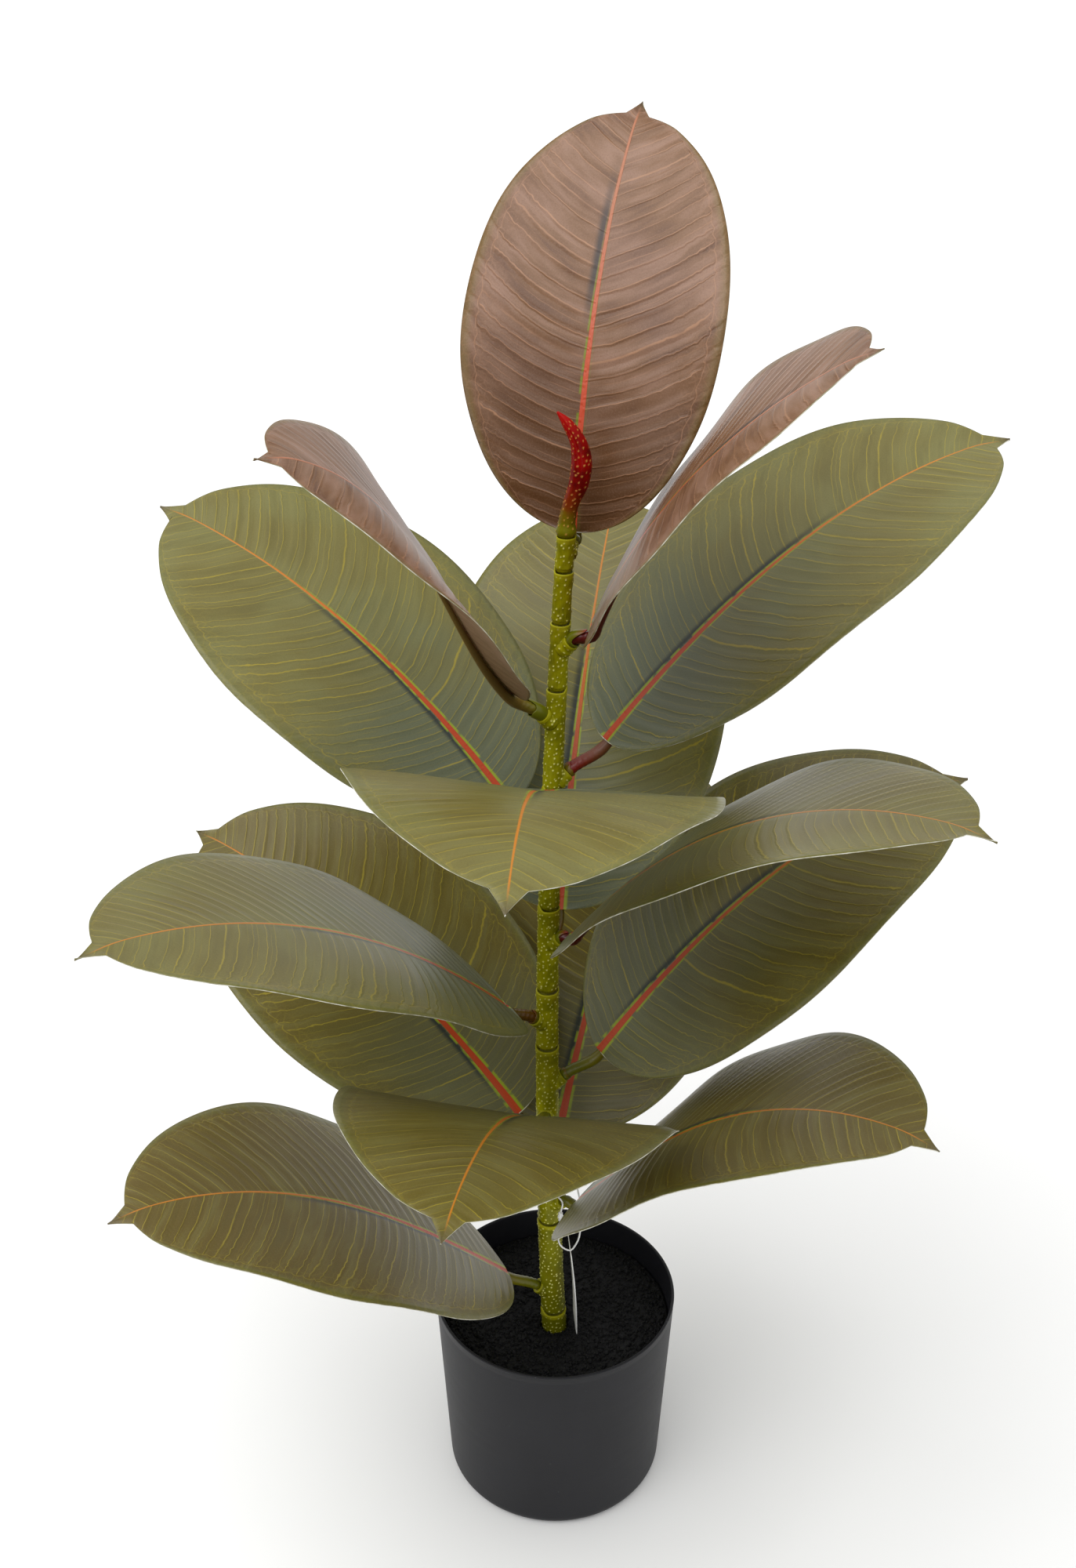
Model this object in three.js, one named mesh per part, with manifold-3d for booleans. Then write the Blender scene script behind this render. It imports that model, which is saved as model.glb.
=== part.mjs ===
// Artificial rubber plant in its pot. Millimetres, +Z up.
// The origin is the centre of the pot's flat underside; -Y is the side the plant shows first.
//
// A steel core rod stands in a cement ballast and carries a chain of moulded stem segments.
// Each leaf is a thin blade on a moulded stalk, and the stalk plugs into a socket of a segment.
import * as THREE from 'three';
import { mergeVertices } from 'three/addons/utils/BufferGeometryUtils.js';
import Module from 'manifold-3d';

const wasm = await Module();
wasm.setup();

// ---------------------------------------------------------------- driving dimensions
const clearance = 0.3; // gap left between pieces that touch
const throughCut = 5; // how far a cutting body runs past what it cuts

const potRimRadius = 72.5;
const potBaseRadius = 65.5;
const potHeight = 131;
const potWall = 1.8;
const potFloor = 2.6;
const potBottomRound = 8; // fillet between wall and underside
const potSides = 48;

const ballastHeight = 38; // poured cement disc
const soilTop = 111; // height of the soil at the wall
const soilDepth = 12;
const soilMound = 2.5; // rise of the soil towards the stem
const cornerGap = 1; // between the ballast's foot and the pot's rounded corner

const rodRadius = 1.6;
const rodFoot = 12; // lowest point of the core rod, inside the ballast
const rodTail = 12; // the rod's end above the stem, inside the bud sheath
const stemFoot = 58; // lowest end of the first stem segment, inside the filler
const stemTop = 618;
const stemY = -9; // the stem stands a little in front of the pot's centre
const stemBowX = -5.4; // x of the stem where it bows out furthest
const stemBowHeight = 328;
const stemBow = 0.0001; // sideways bend, x grows by this times height squared
const stemRadiusFoot = 7.4; // at the soil
const stemRadiusTop = 4.6;
const boreClearance = 0.5;
const segmentSides = 14;
const socketSides = 10;
const stalkSides = 8;

const bladeThickness = 0.9;
const leafLength = 268;
const leafWidth = 164;
const youngLength = 230;
const youngWidth = 136;
const stalkRadius = 3.2; // outside the socket
const spigotRadius = 2.4; // inside the socket
const ribStartRadius = 2.6; // under the blade's base
const ribEndRadius = 0.8;
const ribReach = 0.49; // share of the blade's length that the rib under it runs along
const shoulderLength = stalkRadius - 1.4; // from the spigot to the stalk's full thickness
const neckGap = 5.2; // the stalk turns this far before the blade's base
const socketRadius = 4.5;
const socketProtrusion = 4.6; // how far a socket stands out of the stem
const socketBottom = 0.8; // wall between a socket's hole and the stem's bore

const tuckReach = 0.5; // share of the blade's length along which it is rolled in

const cardLength = 64;
const cardWidth = 20;
const cardThickness = 0.7;
const cardHoleInset = 3; // the card hangs from near its front top corner
const cardTilt = 3.6; // degrees, its foot further right than its top
const cardTurn = 7; // degrees, its back edge further left than its front one
const loopDiameter = 1;
const lockRadius = 1.7;
const lockLength = 3; // of its straight middle

// joints between stem segments, from the soil up
const joints = [stemFoot, 123, 193, 236, 262, 318, 356, 409, 440, 481, 537, 573, 600, stemTop];

// One row for each leaf, in degrees and millimetres.
// socket: compass direction of its socket, height: of the blade's base, reach: from the stem's axis
// to the blade's base, drop: how far below the blade's base the stalk leaves the stem.
// azimuth, sweep: the blade's heading at its base and how far it turns by the tip.
// rise: slope of the midrib at base and tip, arch: added to the slope halfway.
// roll: turn about the midrib at base and tip. right, left: fold of each half, at base and tip.
// tuck: share of the width that is rolled in at the base, none where it is not given.
const leaves = {
  leaf_01: { socket: 72, height: 617, reach: 12, drop: 9, azimuth: 72, sweep: -2, rise: [82, 35],
    arch: 4, roll: [-5, 7], right: [2, 2], left: [2, 2], length: youngLength - 12, width: youngWidth - 6 },
  leaf_02: { socket: 206, height: 541, reach: 25, drop: 22, azimuth: 240, sweep: -22, rise: [42, 10],
    arch: 30, roll: [10, -20], right: [55, -6], left: [-30, -7], length: youngLength - 6, width: youngWidth,
    tuck: 0.6 },
  leaf_03: { socket: -32, height: 576, reach: 17, drop: 17, azimuth: -47, sweep: 3, rise: [64, 30],
    arch: 0, roll: [26, 21], right: [-9, 0], left: [7, 0], length: youngLength, width: youngWidth },
  leaf_04: { socket: 149, height: 465, reach: 24, drop: 19, azimuth: 149, sweep: 5, rise: [46, 13],
    arch: 2, roll: [-8, -18], right: [0, 2], left: [-2, 2], length: leafLength - 11, width: leafWidth },
  leaf_05: { socket: 22, height: 505, reach: 28, drop: 21, azimuth: 22, sweep: -3, rise: [47, 6],
    arch: 7, roll: [2, 8], right: [2, 2], left: [2, 3], length: leafLength, width: leafWidth },
  leaf_06: { socket: 79, height: 389, reach: 32, drop: 18, azimuth: 80, sweep: -1, rise: [60, 22],
    arch: 2, roll: [6, -2], right: [3, 3], left: [3, 3], length: leafLength, width: leafWidth },
  leaf_07: { socket: -94, height: 497, reach: 30, drop: 27, azimuth: -94, sweep: 0, rise: [23, -14],
    arch: 21, roll: [0, -7], right: [2, 2], left: [2, 2], length: leafLength, width: leafWidth },
  leaf_08: { socket: 145, height: 263, reach: 20, drop: 18, azimuth: 145, sweep: 3, rise: [42, 8],
    arch: 1, roll: [-15, -21], right: [3, 3], left: [3, 3], length: leafLength, width: leafWidth },
  leaf_09: { socket: 211, height: 356, reach: 26, drop: 22, azimuth: 211, sweep: 7, rise: [47, -1],
    arch: 6, roll: [-3, -1], right: [2, -2], left: [2, -2], length: leafLength, width: leafWidth },
  leaf_10: { socket: -34, height: 400, reach: 16, drop: 14, azimuth: -34, sweep: 0, rise: [55, -6],
    arch: 8, roll: [3, -6], right: [-4, 1], left: [-2, 1], length: leafLength, width: leafWidth },
  leaf_11: { socket: 14, height: 311, reach: 30, drop: 20, azimuth: 14, sweep: 8, rise: [52, -1],
    arch: 10, roll: [14, 4], right: [-2, 2], left: [0, 2], length: leafLength, width: leafWidth },
  leaf_12: { socket: 78, height: 234, reach: 32, drop: 20, azimuth: 70, sweep: 0, rise: [52, 20],
    arch: 0, roll: [10, 4], right: [3, 3], left: [3, 3], length: leafLength, width: leafWidth },
  leaf_13: { socket: -98, height: 293, reach: 30, drop: 24, azimuth: -98, sweep: -4, rise: [36, -8],
    arch: 19, roll: [0, -2], right: [2, 2], left: [2, 2], length: leafLength, width: leafWidth },
  leaf_14: { socket: 196, height: 160, reach: 27, drop: 23, azimuth: 196, sweep: 13, rise: [43, -6],
    arch: 13, roll: [4, -9], right: [0, 1], left: [0, 0], length: leafLength - 6, width: leafWidth },
  leaf_15: { socket: -37, height: 219, reach: 20, drop: 12, azimuth: -37, sweep: 1, rise: [52, -8],
    arch: 17, roll: [4, 0], right: [-2, 3], left: [-1, 3], length: leafLength, width: leafWidth },
};

// ---------------------------------------------------------------- materials
function finish(color, roughness, metalness = 0) {
  return new THREE.MeshStandardMaterial({ color, roughness, metalness });
}

const materials = {
  pot: finish(0x303236, 0.55),
  cement: finish(0x8f8d88, 0.95),
  foam: finish(0xe6e4dc, 0.9),
  soil: finish(0x0f0e0e, 0.95),
  steel: finish(0x8b8d90, 0.4, 1),
  stem: finish(0x6f7414, 0.5),
  sheath: finish(0x8c1c10, 0.45),
  stalk: finish(0x5b5a1c, 0.4),
  leaf: finish(0x62633f, 0.5),
  youngLeaf: finish(0x7d6152, 0.5),
  card: finish(0xf2f2f0, 0.7),
  nylon: finish(0xe8e8e6, 0.35),
};

// ---------------------------------------------------------------- helpers
const model = new THREE.Group();
const radians = THREE.MathUtils.degToRad;
const mix = THREE.MathUtils.lerp;
const compass = (degrees) => new THREE.Vector3(Math.cos(radians(degrees)), Math.sin(radians(degrees)), 0);

function add(name, geometry, material) {
  const mesh = new THREE.Mesh(geometry, material);
  mesh.name = name;
  model.add(mesh);
  return mesh;
}

function indexed(positions, triangles) {
  const geometry = new THREE.BufferGeometry();
  geometry.setAttribute('position', new THREE.Float32BufferAttribute(positions, 3));
  geometry.setIndex(triangles);
  return geometry;
}

// a closed geometry as a manifold solid, and back
function solid(geometry) {
  const bare = geometry.clone();
  bare.deleteAttribute('normal');
  bare.deleteAttribute('uv');
  const merged = mergeVertices(bare, 1e-4);
  return new wasm.Manifold(new wasm.Mesh({
    numProp: 3,
    vertProperties: Float32Array.from(merged.attributes.position.array),
    triVerts: Uint32Array.from(merged.index.array),
  }));
}

function geometryOf(body) {
  const mesh = body.getMesh();
  return indexed(mesh.vertProperties, Array.from(mesh.triVerts));
}

// a closed ring-shaped or solid turned piece about the Z axis: profile is [radius, height] pairs
function turned(profile, sides) {
  const points = profile.map(([radius, height]) => new THREE.Vector2(radius, height));
  const geometry = new THREE.LatheGeometry(points, sides);
  geometry.rotateX(Math.PI / 2);
  return geometry;
}

// A round bar along a list of points, radius for each point, closed at both ends.
// The cross-section is carried along without twisting.
function bar(points, radii, sides) {
  const positions = [];
  const triangles = [];
  const tangents = points.map((point, i) => {
    const before = points[Math.max(i - 1, 0)];
    const after = points[Math.min(i + 1, points.length - 1)];
    return after.clone().sub(before).normalize();
  });
  const side = new THREE.Vector3(1, 0, 0);
  if (Math.abs(tangents[0].dot(side)) > 0.8) side.set(0, 1, 0);
  points.forEach((point, i) => {
    side.addScaledVector(tangents[i], -side.dot(tangents[i])).normalize();
    const across = tangents[i].clone().cross(side);
    for (let k = 0; k < sides; k += 1) {
      const angle = (2 * Math.PI * k) / sides;
      const corner = point.clone()
        .addScaledVector(side, radii[i] * Math.cos(angle))
        .addScaledVector(across, radii[i] * Math.sin(angle));
      positions.push(corner.x, corner.y, corner.z);
    }
  });
  for (let i = 0; i < points.length - 1; i += 1) {
    for (let k = 0; k < sides; k += 1) {
      const a = i * sides + k;
      const b = i * sides + ((k + 1) % sides);
      triangles.push(a, b, b + sides, a, b + sides, a + sides);
    }
  }
  const last = (points.length - 1) * sides;
  for (let k = 1; k < sides - 1; k += 1) {
    triangles.push(0, k + 1, k, last, last + k, last + k + 1);
  }
  return indexed(positions, triangles);
}

// ---------------------------------------------------------------- stem line
const stemX = (z) => stemBowX + stemBow * (z - stemBowHeight) ** 2;
const stemAt = (z) => new THREE.Vector3(stemX(z), stemY, z);
const stemRadius = (z) => mix(stemRadiusFoot, stemRadiusTop, (z - soilTop) / (stemTop - soilTop));

// ---------------------------------------------------------------- leaf shape
// Half width along the blade, 0 to 1 of the length: a broad oval that ends in a thin drip tip.
function outline(s) {
  const ovalEnd = 0.955;
  const baseFullness = 0.5;
  const tipFullness = 0.55;
  const t = Math.min(Math.max(s / ovalEnd, 1e-9), 1 - 1e-9);
  const widest = baseFullness / (baseFullness + tipFullness);
  const scale = 1 / (widest ** baseFullness * (1 - widest) ** tipFullness);
  const oval = s < ovalEnd ? scale * t ** baseFullness * (1 - t) ** tipFullness : 0;
  const dripTip = s > 0.5 ? 0.075 * Math.min((1 - s) / 0.1, 1) ** 0.9 : 0;
  return (oval ** 8 + dripTip ** 8) ** (1 / 8);
}

// Directions along, across and out of the blade at s, from its heading, slope and roll.
function bladeFrame(leaf, s) {
  const heading = radians(leaf.azimuth + leaf.sweep * s);
  const slope = radians(mix(...leaf.rise, s) + 4 * leaf.arch * s * (1 - s));
  const roll = radians(mix(...leaf.roll, s));
  const [ch, sh, cs, ss] = [Math.cos(heading), Math.sin(heading), Math.cos(slope), Math.sin(slope)];
  const along = new THREE.Vector3(cs * ch, cs * sh, ss);
  const level = new THREE.Vector3(-sh, ch, 0);
  const up = new THREE.Vector3(-ss * ch, -ss * sh, cs);
  const across = level.clone().multiplyScalar(Math.cos(roll)).addScaledVector(up, Math.sin(roll));
  const out = up.clone().multiplyScalar(Math.cos(roll)).addScaledVector(level, -Math.sin(roll));
  return { along, across, out };
}

// The midrib: its slope summed in even steps from the blade's base.
const midribSteps = 60;
function midrib(leaf) {
  const point = stemAt(leaf.height).addScaledVector(compass(leaf.socket), leaf.reach);
  const points = [point.clone()];
  for (let i = 1; i <= midribSteps; i += 1) {
    const before = bladeFrame(leaf, (i - 1) / midribSteps).along;
    const after = bladeFrame(leaf, i / midribSteps).along;
    point.addScaledVector(before.add(after), leaf.length / midribSteps / 2);
    points.push(point.clone());
  }
  return (s) => {
    const step = Math.min(Math.floor(s * midribSteps), midribSteps - 1);
    return points[step].clone().lerp(points[step + 1], s * midribSteps - step);
  };
}

// A blade's point at s along and v across, -1 at the right edge and 1 at the left one.
function bladePoint(leaf, line, s, v) {
  const { across, out } = bladeFrame(leaf, s);
  const fold = radians(mix(...(v < 0 ? leaf.right : leaf.left), s));
  const shown = 1 - (leaf.tuck ?? 0) * (1 - Math.min(s / tuckReach, 1)) ** 1.5;
  const reach = (v * Math.max(outline(s) * shown, 0.012) * leaf.width) / 2;
  return line(s)
    .addScaledVector(across, reach * Math.cos(fold))
    .addScaledVector(out, Math.abs(reach) * Math.sin(fold));
}

// stations along the blade, closer together at its round base and at its tip
const bladeStations = [0.002, 0.012, 0.035, 0.075, 0.14, 0.22, 0.31, 0.4, 0.49, 0.58, 0.67, 0.76, 0.84, 0.9,
  0.935, 0.953, 0.975, 1];
const bladeColumns = [-1, -0.55, 0, 0.55, 1];

// The blade as a thin sheet of even thickness, closed along its edge.
function blade(leaf, line) {
  const rows = bladeStations.length;
  const columns = bladeColumns.length;
  const grid = bladeStations.map((s) => bladeColumns.map((v) => bladePoint(leaf, line, s, v)));
  const positions = [];
  for (const face of [1, -1]) {
    grid.forEach((row, i) => row.forEach((point, j) => {
      const lengthwise = grid[Math.min(i + 1, rows - 1)][j].clone().sub(grid[Math.max(i - 1, 0)][j]);
      const crosswise = row[Math.min(j + 1, columns - 1)].clone().sub(row[Math.max(j - 1, 0)]);
      const normal = lengthwise.cross(crosswise).normalize();
      const corner = point.clone().addScaledVector(normal, (face * bladeThickness) / 2);
      positions.push(corner.x, corner.y, corner.z);
    }));
  }
  const triangles = [];
  const quad = (a, b, c, d) => triangles.push(a, b, c, a, c, d);
  const upper = (i, j) => i * columns + j;
  const lower = (i, j) => (rows + i) * columns + j;
  for (let i = 0; i < rows - 1; i += 1) {
    for (let j = 0; j < columns - 1; j += 1) {
      quad(upper(i, j), upper(i + 1, j), upper(i + 1, j + 1), upper(i, j + 1));
      quad(lower(i, j), lower(i, j + 1), lower(i + 1, j + 1), lower(i + 1, j));
    }
    quad(upper(i, 0), lower(i, 0), lower(i + 1, 0), upper(i + 1, 0));
    quad(upper(i + 1, columns - 1), lower(i + 1, columns - 1), lower(i, columns - 1), upper(i, columns - 1));
  }
  for (let j = 0; j < columns - 1; j += 1) {
    quad(upper(0, j + 1), lower(0, j + 1), lower(0, j), upper(0, j));
    quad(upper(rows - 1, j), lower(rows - 1, j), lower(rows - 1, j + 1), upper(rows - 1, j + 1));
  }
  return indexed(positions, triangles);
}

// ---------------------------------------------------------------- stalks and sockets
// A socket points from the stem's axis, a little below the blade, towards the blade's base.
function socketLine(leaf) {
  const start = stemAt(leaf.height - leaf.drop);
  const end = stemAt(leaf.height).addScaledVector(compass(leaf.socket), leaf.reach);
  return { start, toward: end.sub(start).normalize() };
}

const socketLength = (leaf) => stemRadius(leaf.height - leaf.drop) + socketProtrusion;

// distance along the socket at which its hole ends, short of the stem's bore
function plugDepth(leaf) {
  const { toward } = socketLine(leaf);
  const level = Math.hypot(toward.x, toward.y);
  return (rodRadius + boreClearance + socketBottom + (spigotRadius + clearance) * toward.z) / level;
}

// The stalk is a spigot in the socket, a thicker length outside it, and the rib under the blade.
// The rib hangs below the midrib by its own radius, the blade's half thickness and the gap.
function stalk(leaf, line) {
  const { start, toward } = socketLine(leaf);
  const outside = (distance) => start.clone().addScaledVector(toward, distance);
  const mouth = socketLength(leaf) + clearance;
  const shoulder = mouth + shoulderLength;
  const droop = radians(Math.max(0, -Math.min(...leaf.left, ...leaf.right)));
  const slack = 0.15; // for the blade's flat faces between its stations
  const below = (s) => {
    const radius = mix(ribStartRadius, ribEndRadius, s / ribReach);
    const depth = (radius + bladeThickness / 2 + clearance) / Math.cos(droop) + slack;
    return { point: line(s).addScaledVector(bladeFrame(leaf, s).out, -depth), radius };
  };
  const ribStations = bladeStations.filter((s, i) => i > 0 && s <= ribReach);
  const rib = ribStations.map(below);
  const { along, out } = bladeFrame(leaf, 0);
  const neck = line(0).addScaledVector(along, -neckGap).addScaledVector(out, -stalkRadius);
  const points = [outside(plugDepth(leaf) + clearance), outside(mouth), outside(shoulder), neck];
  const radii = [spigotRadius, spigotRadius, stalkRadius, stalkRadius];
  rib.forEach(({ point, radius }) => {
    points.push(point);
    radii.push(radius);
  });
  return bar(points, radii, stalkSides);
}

// ---------------------------------------------------------------- stem segments
// A segment is a bored bar with a round lower end that stands on the segment below.
function segment(low, high, seated) {
  const length = high - low - clearance;
  const shape = [[0, 0.66], [1, 0.86], [2.6, 0.97], [5, 1],
    [length - 3, 0.97], [length - 1, 0.99], [length, 0.93]];
  const points = shape.map(([rise]) => stemAt(low + rise));
  const radii = shape.map(([rise, share]) => share * stemRadius(low + rise));
  const bore = boreThrough(low - throughCut, high + throughCut);
  let body = solid(bar(points, radii, segmentSides));
  for (const leaf of seated) {
    const { start, toward } = socketLine(leaf);
    const mouth = socketLength(leaf);
    const collar = [0, mouth - 3, mouth - 1.2, mouth];
    const girths = [socketRadius * 0.9, socketRadius * 0.95, socketRadius, socketRadius * 0.85];
    const outside = (distance) => start.clone().addScaledVector(toward, distance);
    body = body.add(solid(bar(collar.map(outside), girths, socketSides)));
    const hole = [plugDepth(leaf), mouth + throughCut].map(outside);
    body = body.subtract(solid(bar(hole, hole.map(() => spigotRadius + clearance), stalkSides)));
  }
  return geometryOf(body.subtract(solid(bore)));
}

function boreThrough(low, high) {
  const heights = [low, mix(low, high, 1 / 3), mix(low, high, 2 / 3), high];
  return bar(heights.map(stemAt), heights.map(() => rodRadius + boreClearance), stalkSides);
}

// ---------------------------------------------------------------- pot and its filling
const potWallRadius = (z) => mix(potBaseRadius, potRimRadius, z / potHeight);
const fillRadius = (z) => potWallRadius(z) - potWall - clearance;

function potProfile() {
  const outside = [];
  const roundSteps = 4;
  const roundCentre = potWallRadius(potBottomRound) - potBottomRound;
  for (let i = 0; i <= roundSteps; i += 1) {
    const angle = (Math.PI / 2) * (i / roundSteps);
    outside.push([
      roundCentre + potBottomRound * Math.sin(angle),
      potBottomRound * (1 - Math.cos(angle)),
    ]);
  }
  const insideRound = potBottomRound - potWall;
  const inside = [];
  for (let i = roundSteps; i >= 0; i -= 1) {
    const angle = (Math.PI / 2) * (i / roundSteps);
    inside.push([
      roundCentre + insideRound * Math.sin(angle),
      potFloor + insideRound * (1 - Math.cos(angle)),
    ]);
  }
  return [[0, 0], ...outside,
    [potRimRadius, potHeight - 0.6], [potRimRadius - 0.5, potHeight],
    [potRimRadius - potWall + 0.4, potHeight], [potRimRadius - potWall, potHeight - 0.5],
    ...inside, [0, potFloor]];
}

// a layer of the filling from low to high, with a hole for what stands in it
function layer(low, high, hole, mound = 0) {
  const wall = [[fillRadius(low), low]];
  if (low < potFloor + potBottomRound) {
    // the lowest layer keeps clear of the round between the pot's wall and floor
    wall[0][0] = fillRadius(potBottomRound) - potBottomRound;
    wall.push([fillRadius(potBottomRound) - cornerGap, low + potBottomRound]);
  }
  const profile = [[0, low], ...wall, [fillRadius(high), high], [0, high + mound]];
  return geometryOf(solid(turned(profile, potSides)).subtract(solid(hole)));
}

// a hole about the stem, wide enough for the first segment
function stemHole(low, high) {
  const heights = [low, high];
  const radii = heights.map((z) => stemRadius(z) + 2 * clearance);
  return bar(heights.map(stemAt), radii, segmentSides + 4);
}

add('pot', turned(potProfile(), potSides), materials.pot);

const ballastFoot = potFloor + clearance;
const ballastTop = ballastFoot + ballastHeight;
const soilFoot = soilTop - soilDepth;
const rodTop = stemTop + rodTail;

const ballastHole = boreThrough(rodFoot - clearance, ballastTop + throughCut);
add('ballast', layer(ballastFoot, ballastTop, ballastHole), materials.cement);

const fillerHole = solid(stemHole(stemFoot - clearance, soilTop + throughCut))
  .add(solid(boreThrough(ballastTop - throughCut, stemFoot + throughCut)));
add('filler', layer(ballastTop + clearance, soilFoot - clearance, geometryOf(fillerHole)), materials.foam);

const soilHole = stemHole(soilFoot - throughCut, soilTop + soilMound + throughCut);
add('soil', layer(soilFoot, soilTop, soilHole, soilMound), materials.soil);

const rodSteps = 16;
const rodLine = Array.from({ length: rodSteps + 1 }, (_, i) => stemAt(mix(rodFoot, rodTop, i / rodSteps)));
add('core_rod', bar(rodLine, rodLine.map(() => rodRadius), stalkSides), materials.steel);

// ---------------------------------------------------------------- stem
for (let i = 0; i < joints.length - 1; i += 1) {
  const [low, high] = [joints[i], joints[i + 1]];
  const here = (z) => z >= low && z < high;
  const seated = Object.values(leaves).filter(({ height, drop }) => here(height - drop));
  add(`stem_segment_${String(i + 1).padStart(2, '0')}`, segment(low, high, seated), materials.stem);
}

// The bud sheath is a curved horn on top of the stem, bored for the end of the rod.
// Its points are offsets from the top of the stem: sideways, forwards, up, and its radius there.
function sheath() {
  const horn = [
    [0, 0, 0, 3.2], [0, 0, 1.5, 4.3], [0.3, 0, 8, 4.1], [2, -0.6, 17, 3.8], [5.8, -1.2, 28, 4.7],
    [7, -1.5, 38, 4.9], [5.6, -1.5, 47, 4], [2.6, -1.2, 53, 3.2], [-1, -0.8, 58, 2.2], [-4.6, -0.4, 62, 0.5],
  ];
  const foot = stemAt(stemTop);
  const points = horn.map(([x, y, z]) => foot.clone().add(new THREE.Vector3(x, y, z)));
  const body = solid(bar(points, horn.map(([, , , radius]) => radius), segmentSides));
  return geometryOf(body.subtract(solid(boreThrough(stemTop - throughCut, rodTop + clearance))));
}
add('bud_sheath', sheath(), materials.sheath);

// ---------------------------------------------------------------- leaves
for (const [name, leaf] of Object.entries(leaves)) {
  const line = midrib(leaf);
  const young = leaf.width < leafWidth;
  add(`${name}_blade`, blade(leaf, line), young ? materials.youngLeaf : materials.leaf);
  add(`${name}_stalk`, stalk(leaf, line), materials.stalk);
}

// ---------------------------------------------------------------- hang tag
// A nylon loop goes round the stem above a stalk and is closed by a small lock bead. A plain card hangs in it.
const loopRoute = [
  [2.6, -19.6, 201.2], [1.2, -20, 192], [3.4, -20, 182.5], [8.6, -19.6, 179.4], [12.4, -18, 184], [14.4, -14, 197],
  [13.2, -7, 212], [8.4, -0.6, 223.4], [0.6, 3.4, 228], [-7.6, 1.2, 229], [-12.4, -6.6, 228.4],
  [-9.4, -15, 227], [-1.8, -20, 223.4], [3.6, -20.8, 216.8], [2.8, -19.9, 209.2],
];
const cardHangs = 3; // the point of the route that the card hangs from

function tagLoop() {
  const route = new THREE.CatmullRomCurve3(loopRoute.map((point) => new THREE.Vector3(...point)));
  const section = new THREE.Shape().absarc(0, 0, loopDiameter / 2, 0, 2 * Math.PI);
  return new THREE.ExtrudeGeometry(section, { steps: 48, curveSegments: 4, extrudePath: route });
}

function tagCard() {
  const [x, y, z] = loopRoute[cardHangs];
  const card = new THREE.BoxGeometry(cardThickness, cardWidth, cardLength);
  card.translate(0, cardWidth / 2 - cardHoleInset, -cardLength / 2);
  card.rotateY(radians(-cardTilt));
  card.rotateZ(radians(cardTurn));
  card.translate(x, y, z - loopDiameter);
  return card;
}

function lockBead() {
  const [x, y, z] = loopRoute[0];
  const bead = new THREE.CapsuleGeometry(lockRadius, lockLength, 4, 10);
  bead.rotateX(Math.PI / 2);
  bead.translate(x, y, z + lockRadius + lockLength / 2 + loopDiameter / 2 + clearance);
  return bead;
}

add('tag_loop', tagLoop(), materials.nylon);
add('tag_lock', lockBead(), materials.nylon);
add('tag_card', tagCard(), materials.card);

export default model;
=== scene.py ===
"""The looks of an artificial rubber plant in its pot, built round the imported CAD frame.

Lengths are worked out in millimetres, in the frame's own axes, and go into the meshes in metres.
+Z is up, the pot stands on z = 0 and -Y is the side the plant shows first.
"""

import math

import bpy
import numpy as np
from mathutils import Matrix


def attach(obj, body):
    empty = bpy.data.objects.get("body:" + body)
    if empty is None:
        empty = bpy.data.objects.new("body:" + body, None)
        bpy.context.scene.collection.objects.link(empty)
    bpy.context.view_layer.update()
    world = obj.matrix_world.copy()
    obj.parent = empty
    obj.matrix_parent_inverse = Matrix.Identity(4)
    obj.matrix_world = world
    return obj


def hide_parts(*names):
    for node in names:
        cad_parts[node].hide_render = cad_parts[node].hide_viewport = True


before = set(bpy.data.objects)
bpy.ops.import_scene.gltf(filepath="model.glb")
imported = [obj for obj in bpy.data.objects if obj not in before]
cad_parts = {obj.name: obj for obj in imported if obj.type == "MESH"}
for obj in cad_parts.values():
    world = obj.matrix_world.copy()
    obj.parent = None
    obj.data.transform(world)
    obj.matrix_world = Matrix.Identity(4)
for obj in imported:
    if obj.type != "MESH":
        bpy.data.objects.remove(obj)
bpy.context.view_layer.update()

MM = 0.001
BODY = "root"
scene = bpy.context.scene


# ------------------------------------------------------------------ camera
# worked out from the rim's ellipse and the pot's height: place in millimetres, degrees down, lens and sensor
CAMERA_PLACE, CAMERA_DOWN, CAMERA_LENS, CAMERA_SENSOR = (-10.5, -836, 924), 28, 41.8, 36.0


def make_camera():
    """A camera in front of the plant and above it, looking down at it."""
    data = bpy.data.cameras.new("camera")
    data.sensor_width = CAMERA_SENSOR
    data.lens = CAMERA_LENS
    data.clip_start = 0.05
    data.clip_end = 60.0
    camera = bpy.data.objects.new("camera", data)
    camera.location = [place * MM for place in CAMERA_PLACE]
    camera.rotation_euler = (math.radians(90 - CAMERA_DOWN), 0, 0)
    scene.collection.objects.link(camera)
    scene.camera = camera


make_camera()


# ------------------------------------------------------------------ shared sizes, as in the CAD part
SOIL_TOP, SOIL_MOUND = 111.0, 2.5
POT_RIM, POT_BASE, POT_HEIGHT, POT_WALL, POT_FLOOR, POT_ROUND = 72.5, 65.5, 131.0, 1.8, 2.6, 8.0
STEM_TOP, STEM_Y = 618.0, -9.0
STEM_RADIUS_SOIL, STEM_RADIUS_TOP = 7.4, 4.6
STEM_BOW_X, STEM_BOW_Z, STEM_BOW = -5.4, 328, 0.0001
JOINTS = [58, 123, 193, 236, 262, 318, 356, 409, 440, 481, 537, 573, 600, 618]
SPIGOT_RADIUS, STALK_RADIUS, RIB_START, RIB_END, RIB_REACH = 2.4, 3.2, 2.6, 0.8, 0.49
SOCKET_RADIUS, SOCKET_PROTRUSION = 4.5, 4.6
BLADE_THICKNESS = 0.42
TIP_DROOP = 2.0
GROWN, YOUNG = (268.0, 164.0), (230.0, 136.0)  # length and width of a blade

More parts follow.
